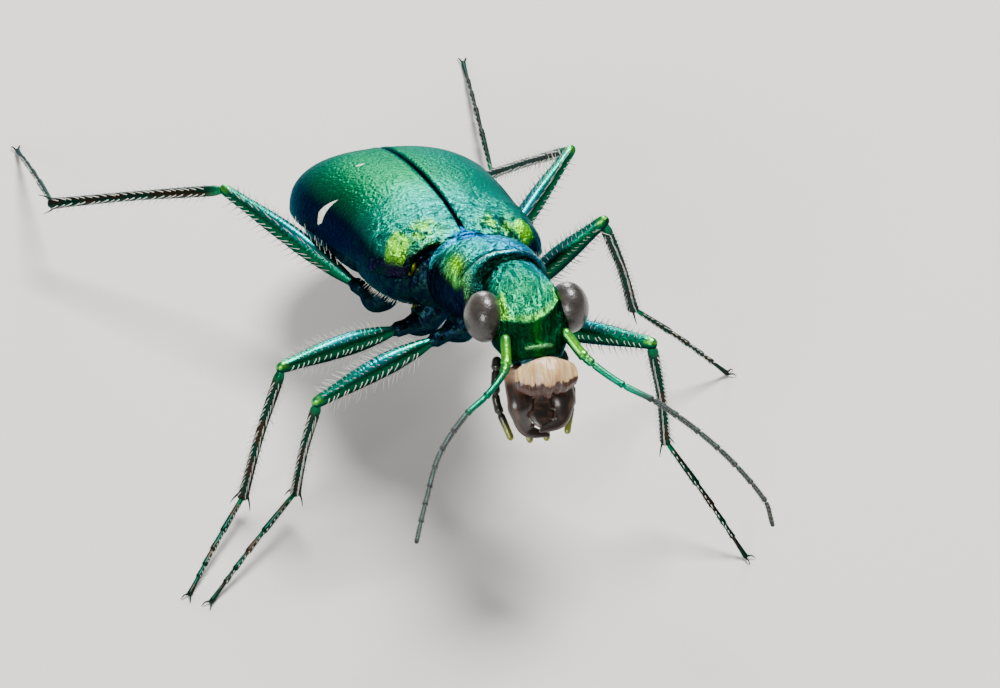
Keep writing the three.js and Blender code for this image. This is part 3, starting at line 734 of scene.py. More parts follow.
def wing_case(name, side, material):
    """One wing case, a curved shell with a seam where it meets its twin."""
    rows, columns = 150, 96
    s = (0.5 - 0.5 * np.cos(np.pi * np.linspace(0.02, 1, rows))) ** 0.9
    angle = np.linspace(-0.42 * math.pi, 0.5 * math.pi, columns)[::-1]
    grid_s, grid_a = np.meshgrid(s, angle, indexing="ij")
    outer = elytra_surface(grid_s, grid_a)
    x, y = outer[..., 0], outer[..., 1]
    raised = smoothstep(np.sin(grid_a), 0.0, 0.5)
    seam = 0.05 * np.exp(-x / 0.022) - 0.02 * bell(x, 0.10, 0.04)
    outer[..., 2] += raised * (base_relief(x, y) - seam)
    outer[..., 0] = np.maximum(outer[..., 0], SEAM_GAP)
    normal = np.cross(np.gradient(outer, axis=0), np.gradient(outer, axis=1))
    normal /= np.maximum(np.linalg.norm(normal, axis=-1, keepdims=True), 1e-9)
    if normal[rows // 2, columns // 3, 2] < 0:
        normal = -normal
    inner = outer - normal * WING_CASE_WALL
    inner[..., 0] = np.maximum(inner[..., 0], SEAM_GAP)
    loop = np.concatenate([outer, inner[:, ::-1]], axis=1)
    place = loop.copy()
    place[..., 0] *= side
    loop[..., 0] *= side
    points, faces = closed_rings(body_to_animal(loop))
    places = np.concatenate([place.reshape(-1, 3), [place[0].mean(0)], [place[-1].mean(0)]])
    piece = mesh_object(name, points, faces, material, places)
    return settle(piece, "wing_case", f"elytron_{'left' if side > 0 else 'right'}")


def build_wing_cases():
    """Both wing cases, and the small pointed shield plate between their front corners."""
    metal = wing_case_material()
    wing_case("wing_case_left", 1, metal)
    wing_case("wing_case_right", -1, metal)
    rows, around = 26, 32
    t = np.linspace(0, 1, rows)
    angle = np.linspace(0, 2 * math.pi, around + 1)[:-1]
    width = 0.40 * (1 - t) ** 0.75 + 0.015
    length = (0.75 * t)[:, None]
    height = np.outer(0.07 - 0.03 * t, np.sin(angle)) + (0.12 * t - 0.04)[:, None]
    rings = np.stack([np.outer(width, np.cos(angle)), np.repeat(length, around, 1), height], -1)
    points, faces = closed_rings(rings)
    place = points - [0, 1.0, 0]
    plate = mesh_object("shield_plate", body_to_animal(points), faces, collar_material(), place)
    settle(plate, "pronotum", "scutellum")


pronotum_width = profile([(0, 0.82), (0.08, 0.9), (0.2, 0.94), (0.55, 1), (0.8, 0.96), (0.92, 0.9),
                          (1, 0.85)])
pronotum_top = profile([(0, -0.02), (0.08, 0.06), (0.17, -0.06), (0.36, 0.22), (0.62, 0.28), (0.78, 0.2),
                        (0.87, 0.08), (0.95, 0.23), (1, 0.14)])
pronotum_bottom = profile([(0, -1.75), (0.5, -1.85), (1, -1.6)])


def build_collar():
    """The collar: a rounded box with a groove along its back and one behind each of its two rims."""
    rows, around = 130, 150
    t = 0.5 - 0.5 * np.cos(np.pi * np.linspace(0, 1, rows))
    angle = np.arange(around) / around * 2 * math.pi
    grid_t, grid_a = np.meshgrid(t, angle, indexing="ij")
    top, bottom = pronotum_top(grid_t), pronotum_bottom(grid_t)
    middle = (top + bottom) / 2
    rounded = 1 - 0.10 * smoothstep(np.abs(grid_t - 0.5), 0.47, 0.5)
    x = pronotum_width(grid_t) * PRONOTUM_HALF_WIDTH * power(np.cos(grid_a), 2 / BODY_POWER) * rounded
    z = middle + (top - middle) * power(np.sin(grid_a), 2 / BODY_POWER) * rounded
    upper = smoothstep(np.sin(grid_a), 0.2, 0.7)
    mid_groove = bell(x, 0, 0.06) * smoothstep(grid_t, 0.12, 0.3) * (1 - smoothstep(grid_t, 0.75, 0.9))
    z -= upper * 0.07 * mid_groove
    z -= upper * 0.03 * bell(grid_t, 0.17, 0.05) + upper * 0.05 * bell(grid_t, 0.87, 0.035)
    y = -COLLAR_GAP - grid_t * PRONOTUM_LENGTH
    y = y - upper * 0.05 * grid_t * (1 - (x / PRONOTUM_HALF_WIDTH) ** 2)
    points, faces = closed_rings(np.stack([x, y, z], -1))
    leaning = points.copy()
    leaning[:, 0] += -PRONOTUM_LEAN * (points[:, 1] + COLLAR_GAP) / PRONOTUM_LENGTH
    piece = mesh_object("collar", body_to_animal(leaning), faces, collar_material(), points)
    settle(piece, "pronotum", "pronotum")


def trunk_rings(start, end, bottom, rows, ribs):
    """Rings of the trunk under the wing cases, between two shares of their length."""
    around = 96
    t = np.linspace(0, 1, rows)
    angle = np.arange(around) / around * 2 * math.pi
    grid_t, grid_a = np.meshgrid(t, angle, indexing="ij")
    s = start + (end - start) * grid_t
    edge = elytra_edge(s) - 0.3
    tuck = 0.30 - 0.17 * (1 - smoothstep(s, 0.0, 0.06))
    half = np.maximum(0.15, elytra_width(s) * ELYTRA_HALF_WIDTH - tuck - 0.2 * grid_t**6)
    top = elytra_top(s) - tuck - 0.05
    rise = np.sin(grid_a)
    low = bottom(s) + ribs * 0.07 * np.abs(np.sin(grid_t * 5.5 * math.pi)) ** 0.4 * -1 + ribs * 0.05
    x = half * power(np.cos(grid_a), 2 / BODY_POWER)
    z = edge + np.where(rise > 0, (top - edge) * np.abs(rise) ** 0.87, (edge - low) * power(rise, 0.9))
    return np.stack([x, s * ELYTRA_LENGTH, z], -1)


chest_bottom = profile([(0, -1.75), (0.1, -2.0), (0.25, -2.15), (0.4, -2.1)])
belly_bottom = profile([(0.3, -2.0), (0.6, -2.0), (0.8, -1.85), (0.93, -1.6), (1, -1.45)])


def build_trunk(metal):
    """The chest that carries the legs, and the ringed belly behind it."""
    for name, rings, node in (
        ("chest", trunk_rings(-0.03, 0.362, chest_bottom, 44, 0), "thorax"),
        ("belly", trunk_rings(0.36, 0.955, belly_bottom, 110, 1), "abdomen"),
    ):
        points, faces = closed_rings(rings)
        settle(mesh_object(name, body_to_animal(points), faces, metal, points), "underside", node)


# Head

# Middle line, half height, half width and tilt of the skull's rings, from its neck (-0.15) to the mouth (1).
head_y = profile([(-0.15, 1.45), (0, 1.05), (0.15, 0.6), (0.3, 0.25), (0.48, -0.05), (0.68, -0.38),
                  (0.86, -0.66), (1, -0.9)])
head_z = profile([(-0.15, -0.02), (0, 0), (0.15, -0.01), (0.3, -0.06), (0.48, -0.13), (0.68, -0.4),
                  (0.86, -0.6), (1, -0.78)])
head_height = profile([(-0.15, 0.66), (0, 0.755), (0.15, 0.812), (0.3, 0.81), (0.48, 0.765), (0.68, 0.72),
                       (0.86, 0.58), (1, 0.4)])
head_width = profile([(-0.15, 0.66), (0, 0.74), (0.15, 0.79), (0.3, 0.9), (0.48, 0.96), (0.68, 0.9),
                      (0.86, 0.77), (1, 0.6)])
head_tilt = profile([(-0.15, -4), (0, -4), (0.15, 0), (0.3, 5), (0.48, 18), (0.68, 32), (0.86, 45), (1, 50)])
# The share along the skull at which the crown ends, on its middle line.
FRONS_EDGE = 0.69


def build_skull(metal):
    """The skull, with a brow and a trough beside each eye and a raised edge over the face."""
    rows, around = 130, 170
    t = np.linspace(-0.15, 1, rows)
    angle = np.arange(around) / around * 2 * math.pi
    grid_t, grid_a = np.meshgrid(t, angle, indexing="ij")
    tilt = np.radians(head_tilt(grid_t))
    x = head_width(grid_t) * power(np.cos(grid_a), 2 / BODY_POWER)
    upper = smoothstep(np.sin(grid_a), 0.15, 0.6)
    height = head_height(grid_t) * power(np.sin(grid_a), 2 / BODY_POWER)
    out = np.abs(x)
    brow = bell(out, 0.6, 0.09) * smoothstep(grid_t, 0.2, 0.38) * (1 - smoothstep(grid_t, 0.56, 0.64))
    trough = bell(out, 0.42, 0.1) * smoothstep(grid_t, 0.25, 0.42) * (1 - smoothstep(grid_t, 0.54, 0.62))
    to_edge = grid_t + 0.08 * x + 0.25 * x * x
    edge = bell(to_edge, FRONS_EDGE, 0.03) * (1 - smoothstep(out, 0.62, 0.78))
    face = bell(to_edge, FRONS_EDGE + 0.14, 0.07) * (1 - smoothstep(out, 0.45, 0.65))
    lip = bell(grid_t, 0.91, 0.022) * (1 - smoothstep(out, 0.32, 0.45))
    height = height + upper * (0.06 * brow - 0.035 * trough + 0.05 * edge - 0.09 * face + 0.03 * lip)
    y = head_y(grid_t) - height * np.sin(tilt)
    z = head_z(grid_t) + height * np.cos(tilt)
    points, faces = closed_rings(np.stack([x, y, z], -1))
    shares = np.concatenate([grid_t.ravel(), [-0.15, 1]])
    piece = mesh_object("skull", head_to_animal(points), faces, metal, points)
    layer = piece.data.attributes.new("share", "FLOAT", "POINT")
    layer.data.foreach_set("value", shares.astype(np.float32))
    settle(piece, "head", "head")


def build_eyes():
    glass = eye_material()
    for side, name in ((1, "left"), (-1, "right")):
        points, faces, _ = ball((side * EYE_OFFSET, 0, 0), EYE_RADII, 80, 56)
        piece = mesh_object(f"eye_{name}_ball", head_to_animal(points), faces, glass, points)
        settle(piece, "eye", f"eye_{name}")


def build_lip():
    """The upper lip: a pale, softly folded plate with a toothed lower edge."""
    across, down = 90, 60
    u = np.linspace(-1, 1, across)
    reach = profile([(0, 1.0), (0.1, 0.93), (0.2, 0.85), (0.32, 0.9), (0.42, 0.86), (0.55, 0.88),
                     (0.72, 0.82), (1, 0.7)])
    half = profile([(0, 0.62), (0.1, 0.82), (0.3, 0.98), (0.72, 1.03), (1, 0.96)])
    v = np.linspace(0, 1, down)
    grid_v, grid_u = np.meshgrid(v, u, indexing="ij")
    x = grid_u * half(grid_v) * LABRUM_HALF_WIDTH
    z = -LABRUM_LENGTH * grid_v * reach(np.abs(grid_u)) - 0.01 - 0.10 * grid_u**2 * (1 - grid_v) ** 2
    swell = (1 - np.abs(grid_u) ** 2.6) * np.sin(math.pi * np.clip(grid_v * 0.85 + 0.12, 0, 1)) ** 0.6
    folds = 0.08 * np.cos(grid_u * 5.2 - 0.5) * smoothstep(grid_v, 0.1, 0.6)
    folds += 0.014 * np.cos(grid_u * 15 + 2.3 * grid_v) * smoothstep(grid_u, -0.3, 0.5)
    rim = smoothstep(grid_v, 0.86, 1.0)
    front = -0.08 - 0.24 * swell - folds * swell * (1 - rim) + 0.07 * rim
    back = front + 0.05 + 0.13 * swell
    loop = np.concatenate([np.stack([x, front, z], -1), np.stack([x, back, z], -1)[:, ::-1]], axis=1)
    points, faces = closed_rings(loop)
    flat = np.stack([grid_u, grid_v, 0 * grid_v], -1)
    own = np.concatenate([flat, flat[:, ::-1]], axis=1).reshape(-1, 3)
    place = np.concatenate([own, [[0, 0, 0]], [[0, 1, 0]]])
    piece = mesh_object("upper_lip", mouth_to_animal(points), faces, lip_material(), place)
    settle(piece, "ivory", "labrum")


# The jaws' flat faces look this way, in the head frame.
JAW_UP = (0, -0.75, 0.66)
# Shares along a jaw at which its teeth stand.
TOOTH_SHARES = (0.42, 0.56, 0.70)
# The kinds of mouth feeler: route and the shares at which it is jointed.
PALPS = (("maxillary", MAXILLARY_PALP, (0.12, 0.42, 0.68)), ("labial", LABIAL_PALP, (0.3, 0.68)))


def build_jaws():
    """Sickle-shaped jaws with three teeth each, the left one passing over the right, and their feelers."""
    horn = jaw_material()
    palp = palp_material()
    build_mouth_floor(horn)
    t = np.linspace(0, 1, 60)
    for side, name in ((1, "left"), (-1, "right")):
        under = side < 0
        path = [(x * side + MOUTH_SHIFT, y + 0.28 * under * (i > 1), z - 0.3 * under * (i > 1))
                for i, (x, y, z) in enumerate(MANDIBLE)]
        path = spline(path, 60)
        radii = 0.17 * (1 - t**2.2) + 0.028 + 0.03 * bell(t, 0.42, 0.08)
        parts = [tube(path, radii, 26, JAW_UP, 1.55)]
        for i, share in enumerate(TOOTH_SHARES):
            root = path[int(share * 59)]
            tip = root + np.array([-0.36 * side, 0.10, 0.14 - 0.04 * i]) * (1 - 0.12 * i)
            middle = (root + tip) / 2 + np.array([0, -0.05, 0.02])
            parts.append(tube(spline([root, middle, tip], 10), np.linspace(0.10, 0.018, 10), 14))
        points, faces, place = join(parts)
        piece = mesh_object(f"jaw_{name}", head_to_animal(points), faces, horn, place)
        settle(piece, "dark_jaw", f"mandible_{name}")
        for kind, route, joints in PALPS:
            path = spline([(x * side, y, z) for x, y, z in route], 60)
            radii = 0.115 - 0.035 * t
            for joint in joints:
                radii = radii - 0.032 * bell(t, joint, 0.018) + 0.014 * bell(t, joint - 0.05, 0.04)
            points, faces, place = tube(path, radii, 20)
            piece = mesh_object(f"{kind}_feeler_{name}", head_to_animal(points), faces, palp, place)
            settle(piece, "palp", f"{kind}_palp_{name}")


def build_mouth_floor(horn):
    """The dark lower lip and the inner lobes of the lower jaws, seen between the two jaws."""
    parts = [ball((0.0, -1.43, -1.62), (0.40, 0.64, 0.12), 36, 20, turn("X", 42))]
    for side in (1, -1):
        lobe = spline([(0.28 * side - 0.05, -1.1, -1.35), (0.33 * side - 0.05, -1.45, -1.7),
                       (0.12 * side - 0.05, -1.68, -1.92)], 24)
        parts.append(tube(lobe, 0.12 * (1 - np.linspace(0, 1, 24) ** 3) + 0.02, 16, JAW_UP, 1.2))
    points, faces, place = join(parts)
    settle(mesh_object("mouth_floor", head_to_animal(points), faces, horn, place), "dark_jaw")


# Lengths of the segments of a feeler, in proportion.
ANTENNA_SEGMENTS = [0.62, 0.22, 0.78, 0.66, 0.6, 0.55, 0.52, 0.5, 0.47, 0.45, 0.5]


def build_feelers(bristles):
    """Eleven segments each: a stout first one, a short second, then nine slender ones."""
    metal = feeler_material()
    for side, points in ANTENNAE.items():
        path = spline(points, 320)
        along = np.concatenate([[0], np.cumsum(np.linalg.norm(np.diff(path, axis=0), axis=1))])
        ends = np.cumsum(ANTENNA_SEGMENTS) / sum(ANTENNA_SEGMENTS) * along[-1]
        radii = np.interp(along, [0, ends[0], ends[1], ends[3], along[-1]], [0.125, 0.12, 0.085, 0.07, 0.05])
        for end in ends[:-1]:
            radii = radii + 0.014 * bell(along, end - 0.05, 0.05) - 0.032 * bell(along, end + 0.012, 0.02)
        split = int(np.searchsorted(along, ends[0] + 0.012))
        for name, node, slot, cut, thin in (
            (f"feeler_root_{side}", f"antenna_scape_{side}", "head", slice(0, split + 1), 22),
            (f"feeler_{side}", f"antenna_flagellum_{side}", "feeler", slice(split, None), 16),
        ):
            shape = tube(path[cut], radii[cut], thin)
            place = shape[2].copy()
            place[:, 0] += along[cut][0]
            settle(mesh_object(name, shape[0], shape[1], metal, place), slot, node)
        for angle in range(0, 360, 30):
            turned = angle + rng.uniform(-10, 10)
            bristles.row(path[120:], radii[120:], (0, 0, 1), turned, 46, 0.07, 55, 0.02, 0.98)


# Bristles

# The bake map is cut into this many tiles each way, one for each limb, and a limb fills this share of it.
TILES = 8
TILE_FILL = 0.12
# Width and height of one bristle's own patch on the bake map.
PATCH = 0.003
BRISTLE_BEND = 0.22


class Bristles:
    """Roots, directions and lengths of bristles, gathered limb by limb and grown as one joined mesh."""

    def __init__(self):
        self.roots, self.aims, self.leans, self.longs, self.patches = [], [], [], [], []
        self.tiles = 0

    def add(self, roots, aims, leans, longs, patches):
        """Patches are each root's place, 0 to 1 both ways, on the unwrap of the limb it grows from."""
        tile = np.array([self.tiles % TILES, self.tiles // TILES]) / TILES
        self.roots.append(np.asarray(roots))
        self.aims.append(np.asarray(aims))
        self.leans.append(np.asarray(leans))
        self.longs.append(np.asarray(longs))
        self.patches.append(tile + np.asarray(patches) * TILE_FILL)

    def row(self, path, radii, up, angle, count, length, slant, start=0.05, end=0.95, spread=4.0):
        """A row along a limb at an angle round it; slant is the lean toward the limb's far end."""
        path = np.asarray(path, float)
        radii = np.broadcast_to(radii, (len(path),))
        share = start + (end - start) * (np.arange(count) + rng.uniform(0.25, 0.75, count)) / count
        index = np.linspace(0, 1, len(path))
        centre = np.stack([np.interp(share, index, path[:, k]) for k in range(3)], -1)
        slope = np.gradient(path, axis=0)
        tangent = np.stack([np.interp(share, index, slope[:, k]) for k in range(3)], -1)
        tangent /= np.linalg.norm(tangent, axis=1)[:, None]
        side = np.cross(tangent, up)
        side /= np.linalg.norm(side, axis=1)[:, None]
        rise = np.cross(side, tangent)
        turn_angle = np.radians(angle + rng.uniform(-spread, spread, count))[:, None]
        out = np.cos(turn_angle) * side + np.sin(turn_angle) * rise
        radius = np.interp(share, index, radii)[:, None]
        lean = math.radians(slant) + rng.uniform(-0.12, 0.12, (count, 1))
        aims = out * np.cos(lean) + tangent * np.sin(lean)
        longs = length * rng.uniform(0.8, 1.15, count)
        patches = np.stack([share, (turn_angle[:, 0] / (2 * math.pi)) % 1], -1)
        self.add(centre + out * (radius - 0.012), aims, tangent, longs, patches)

    def next_limb(self):
        self.tiles += 1

    def grow(self, name, slot, material, thickness):
        """One mesh of bent, tapered bristles, each with its patch on the bake map."""
        mesh = bpy.data.meshes.new(name)
        roots = (np.concatenate(self.roots) + OFFSET) * MM
        mesh.from_pydata(roots.tolist(), [], [])
        for key, kind, field, values in (
            ("aim", "FLOAT_VECTOR", "vector", np.concatenate(self.aims)),
            ("lean", "FLOAT_VECTOR", "vector", np.concatenate(self.leans)),
            ("long", "FLOAT", "value", np.concatenate(self.longs) * MM),
            ("patch", "FLOAT_VECTOR", "vector", np.pad(np.concatenate(self.patches), ((0, 0), (0, 1)))),
        ):
            layer = mesh.attributes.new(key, kind, "POINT")
            layer.data.foreach_set(field, values.astype(np.float32).ravel())
        source = bpy.data.objects.new(name + "_roots", mesh)
        bpy.context.scene.collection.objects.link(source)
        modifier = source.modifiers.new("bristles", "NODES")
        tree, sockets = bristle_tree(material)
        modifier.node_group = tree
        modifier[sockets["Thickness"]] = thickness * MM
        modifier[sockets["Bend"]] = BRISTLE_BEND
        graph = bpy.context.evaluated_depsgraph_get()
        grown = bpy.data.meshes.new_from_object(source.evaluated_get(graph))
        grown.name = name
        for key in ("aim", "lean", "long", "patch"):
            if key in grown.attributes:
                grown.attributes.remove(grown.attributes[key])
        piece = bpy.data.objects.new(name, grown)
        bpy.context.scene.collection.objects.link(piece)
        source.modifiers.remove(modifier)
        bpy.data.objects.remove(source)
        return settle(piece, slot)


class Growth:
    """The nodes of one Geometry Nodes tree."""

    def __init__(self, name):
        self.tree = bpy.data.node_groups.new(name, "GeometryNodeTree")

    def socket(self, name, kind, way="INPUT"):
        return self.tree.interface.new_socket(name=name, in_out=way, socket_type=kind).identifier

    def new(self, kind, settings=None, **inputs):
        node = self.tree.nodes.new(kind)
        for key, value in (settings or {}).items():
            setattr(node, key, value)
        for key, value in inputs.items():
            slot = node.inputs[key.replace("_", " ")]
            if isinstance(value, bpy.types.NodeSocket):
                self.tree.links.new(value, slot)
            else:
                slot.default_value = value
        return node

    def read(self, name, kind):
        node = self.new("GeometryNodeInputNamedAttribute", {"data_type": kind})
        node.inputs["Name"].default_value = name
        return node.outputs["Attribute"]

    def maths(self, operation, first, second):
        node = self.new("ShaderNodeMath", {"operation": operation})
        for slot, value in zip(node.inputs, (first, second)):
            if isinstance(value, bpy.types.NodeSocket):
                self.tree.links.new(value, slot)
            else:
                slot.default_value = value
        return node.outputs[0]

    def vector(self, x=0.0, y=0.0, z=0.0):
        return self.new("ShaderNodeCombineXYZ", X=x, Y=y, Z=z).outputs[0]


def bristle_tree(material):
    """Sets a bent four-sided cone on each root, along its aim, and writes its patch of the bake map."""
    g = Growth("bristles")
    g.socket("Geometry", "NodeSocketGeometry")
    sockets = {name: g.socket(name, "NodeSocketFloat") for name in ("Thickness", "Bend")}
    g.socket("Geometry", "NodeSocketGeometry", "OUTPUT")
    given = g.new("NodeGroupInput")
    cone = g.new("GeometryNodeMeshCone", {"fill_type": "NGON"}, Vertices=4, Side_Segments=3, Radius_Top=0.08,
                 Radius_Bottom=1.0, Depth=1.0)
    split = g.new("ShaderNodeSeparateXYZ", Vector=g.new("GeometryNodeInputPosition").outputs[0])
    section = g.vector(split.outputs["X"], split.outputs["Y"])
    thick = g.new("ShaderNodeVectorMath", {"operation": "SCALE"}, Vector=section,
                  Scale=given.outputs["Thickness"])
    patch_u = g.maths("MULTIPLY", g.maths("ADD", split.outputs["X"], 1.0), PATCH / 2)
    patch_v = g.maths("MULTIPLY", split.outputs["Z"], PATCH)
    own_patch = g.new("GeometryNodeStoreNamedAttribute", {"data_type": "FLOAT_VECTOR", "domain": "POINT"},
                      Geometry=cone.outputs["Mesh"], Name="own patch", Value=g.vector(patch_u, patch_v))
    tall = g.new("ShaderNodeVectorMath", {"operation": "ADD"})
    g.tree.links.new(thick.outputs[0], tall.inputs[0])
    g.tree.links.new(g.vector(0.0, 0.0, split.outputs["Z"]), tall.inputs[1])
    shaped = g.new("GeometryNodeSetPosition", Geometry=own_patch.outputs[0], Position=tall.outputs[0])
    along = g.new("FunctionNodeAlignRotationToVector", {"axis": "Z"}, Vector=g.read("aim", "FLOAT_VECTOR"))
    faced = g.new("FunctionNodeAlignRotationToVector", {"axis": "X", "pivot_axis": "Z"},
                  Rotation=along.outputs[0], Vector=g.read("lean", "FLOAT_VECTOR"))
    size = g.vector(1.0, 1.0, g.read("long", "FLOAT"))
    placed = g.new("GeometryNodeInstanceOnPoints", Points=given.outputs["Geometry"],
                   Instance=shaped.outputs[0], Rotation=faced.outputs[0], Scale=size)
    real = g.new("GeometryNodeRealizeInstances", Geometry=placed.outputs[0])
    droop = g.new("ShaderNodeVectorMath", {"operation": "SCALE"}, Vector=g.read("lean", "FLOAT_VECTOR"),
                  Scale=g.maths("MULTIPLY", bend_share(g, given), g.read("long", "FLOAT")))
    drooped = g.new("GeometryNodeSetPosition", Geometry=real.outputs[0], Offset=droop.outputs[0])
    both = g.new("ShaderNodeVectorMath", {"operation": "ADD"})
    g.tree.links.new(g.read("patch", "FLOAT_VECTOR"), both.inputs[0])
    g.tree.links.new(g.read("own patch", "FLOAT_VECTOR"), both.inputs[1])
    mapped = g.new("GeometryNodeStoreNamedAttribute", {"data_type": "FLOAT2", "domain": "CORNER"},
                   Geometry=drooped.outputs[0], Name="OFBake", Value=both.outputs[0])
    smooth = g.new("GeometryNodeSetShadeSmooth", Geometry=mapped.outputs[0])
    coated = g.new("GeometryNodeSetMaterial", Geometry=smooth.outputs[0], Material=material)
    result = g.new("NodeGroupOutput")
    g.tree.links.new(coated.outputs[0], result.inputs[0])
    return g.tree, sockets


def bend_share(g, given):
    """How far a point of a bristle leans over: the square of its height share, times the bend."""
    height = g.new("ShaderNodeSeparateXYZ", Vector=g.read("own patch", "FLOAT_VECTOR")).outputs["Y"]
    share = g.maths("DIVIDE", height, PATCH)
    return g.maths("MULTIPLY", g.maths("POWER", share, 2.0), given.outputs["Bend"])


# Legs

def leg_joints(name):
    leg = LEGS[name]
    hip = body_to_animal([leg["coxa"]])[0]
    knee, ankle, foot = (np.array(leg[key]) for key in ("knee", "ankle", "foot"))
    return hip, knee, ankle, foot


def unit(vector):
    return np.asarray(vector, float) / np.linalg.norm(vector)


# Bristle rows round a thigh: angle, count, length in mm and lean in degrees.
THIGH_ROWS = (
    (90, 20, 0.26, 15), (62, 16, 0.24, 20), (118, 16, 0.24, 20), (18, 18, 0.26, 30),
    (162, 18, 0.26, 30), (225, 18, 0.28, 25), (315, 18, 0.28, 25), (270, 20, 0.3, 20),
)
# Angles of the bristle rows round a shin and a foot.
SHIN_ROWS = (20, 70, 110, 160, 215, 270, 325)
FOOT_ROWS = (200, 235, 270, 305, 340, 40, 140)
# Shares of a foot's length taken by its five segments.
FOOT_SEGMENTS = (0.36, 0.19, 0.16, 0.12, 0.17)
thigh_radius = profile([(0, 0.13), (0.12, 0.21), (0.35, 0.285), (0.6, 0.265), (0.85, 0.19), (0.96, 0.165),
                        (1, 0.15)])
shin_radius = profile([(0, 0.09), (0.05, 0.13), (0.5, 0.115), (0.92, 0.125), (1, 0.14)])


def thigh_ridge(share, angle):
    """The blunt ridge along the top of a thigh."""
    return 0.07 * bell(angle, math.pi / 2, 0.35) * math.sin(math.pi * min(1, share * 1.05))


def shin_grooves(share, angle):
    """Five shallow grooves along a shin."""
    return 0.07 * np.cos(angle * 5)


def build_hip(name, metal):
    """The hip and the small link beyond it."""
    hip, knee, _, _ = leg_joints(name)
    down = unit(knee - hip)
    inward = (body_to_animal([(0, LEGS[name]["coxa"][1], -1.2)])[0] - hip) * 0.35
    hip_path = spline([hip + inward, hip, hip + down * 0.34], 30)
    hip_cone = tube(hip_path, np.interp(np.linspace(0, 1, 30), [0, 0.5, 1], [0.44, 0.40, 0.20]), 36)
    link_radii = np.array([0.15] + [0.19] * 8 + [0.18, 0.16, 0.14])
    link = tube(spline([hip + down * 0.40, hip + down * 0.72], 12), link_radii, 20)
    points, faces, place = join([hip_cone, link])
    settle(mesh_object(f"{name}_hip", points, faces, metal, points), "underside", f"{name}_coxa")


def build_thigh(name, metal, bristles):
    hip, knee, _, _ = leg_joints(name)
    start = hip + unit(knee - hip) * 0.78
    sag = np.array([0, 0, 0.05])
    path = spline([start, (start + knee) / 2 + sag, knee], 60)
    radii = thigh_radius(np.linspace(0, 1, 60))
    points, faces, place = tube(path, radii, 40, (0, 0, 1), 0.86, thigh_ridge)
    settle(mesh_object(f"{name}_thigh", points, faces, metal, place), "leg_green", f"{name}_femur")
    for angle, count, length, slant in THIGH_ROWS:
        bristles.row(path, radii * 0.95, (0, 0, 1), angle, count, length, slant, 0.1, 0.95)
    bristles.next_limb()


def build_shin(name, metal, bristles):
    """The shin with its two spurs."""
    hip, knee, ankle, foot = leg_joints(name)
    outward = unit((knee - hip) * np.array([1, 1, 0]))
    way = unit(ankle - knee)
    bend = max(0.0, float(np.dot(unit(hip - knee), way)))
    start = knee + way * (0.12 + 0.12 * bend)
    bow = outward * 0.06
    path = spline([start, (start + ankle) / 2 + bow, ankle], 60)
    radii = shin_radius(np.linspace(0, 1, 60))
    parts = [tube(path, radii, 40, outward, 0.9, shin_grooves)]
    across = unit(np.cross(way, foot - ankle))
    for hand in (-1, 1):
        root = ankle - way * 0.08 + across * 0.08 * hand
        tip = root + way * 0.42 + across * 0.18 * hand
        spur = spline([root, (root + tip) / 2 + across * 0.02 * hand, tip], 10)
        parts.append(tube(spur, np.linspace(0.035, 0.008, 10), 8))
    points, faces, place = join(parts)
    settle(mesh_object(f"{name}_shin", points, faces, metal, place), "shin", f"{name}_tibia")
    for angle in SHIN_ROWS:
        bristles.row(path, radii, outward, angle, 22, 0.2, 38, 0.06, 0.97)
    bristles.next_limb()


def foot_radii(share):
    """The five segments of a foot, each wider at its far end, along shares of the foot's length."""
    ends = np.cumsum((0,) + FOOT_SEGMENTS)
    radii = np.full(len(share), 0.0)
    for first, last in zip(ends[:-1], ends[1:]):
        inside = (share >= first) & (share <= last + 1e-9)
        own = np.clip((share - first) / (last - first), 0, 1)
        segment = 0.055 + 0.03 * own**1.5 - 0.03 * smoothstep(own, 0.93, 1.0)
        radii[inside] = segment[inside] * (1.1 - 0.3 * share[inside])
    return radii


def build_foot(name, metal, bristles):
    """The foot of five segments and two claws."""
    _, _, ankle, foot = leg_joints(name)
    start = ankle + unit(foot - ankle) * 0.16
    middle = start * 0.5 + foot * 0.5 + np.array([0, 0, 0.06])
    path = spline([start, middle, foot - np.array([0, 0, 0.02])], 100)
    radii = foot_radii(np.linspace(0, 1, 100))
    heading = unit((foot - start) * np.array([1, 1, 0]))
    level = np.cross(heading, (0, 0, 1))
    parts = [tube(path, radii, 18)]
    end = path[-1]
    for hand in (-1, 1):
        claw = spline([end - heading * 0.03 + level * 0.02 * hand,
                       end + heading * 0.12 + level * 0.09 * hand + (0, 0, 0.03),
                       end + heading * 0.19 + level * 0.12 * hand + (0, 0, -0.035)], 12)
        parts.append(tube(claw, np.linspace(0.032, 0.009, 12), 8))
    points, faces, place = join(parts)
    settle(mesh_object(f"{name}_foot", points, faces, metal, place), "shin", f"{name}_tarsus")
    for angle in FOOT_ROWS:
        bristles.row(path[:85], radii[:85], (0, 0, 1), angle, 18, 0.09, 50, 0.03, 0.97)
    bristles.next_limb()


def build_leg(name, metals, bristles):
    trunk_metal, thigh_metal, shin_metal = metals
    build_hip(name, trunk_metal)
    build_thigh(name, thigh_metal, bristles)
    build_shin(name, shin_metal, bristles)
    build_foot(name, shin_metal, bristles)


# Hairs on each flank.
FLANK_HAIRS = 90


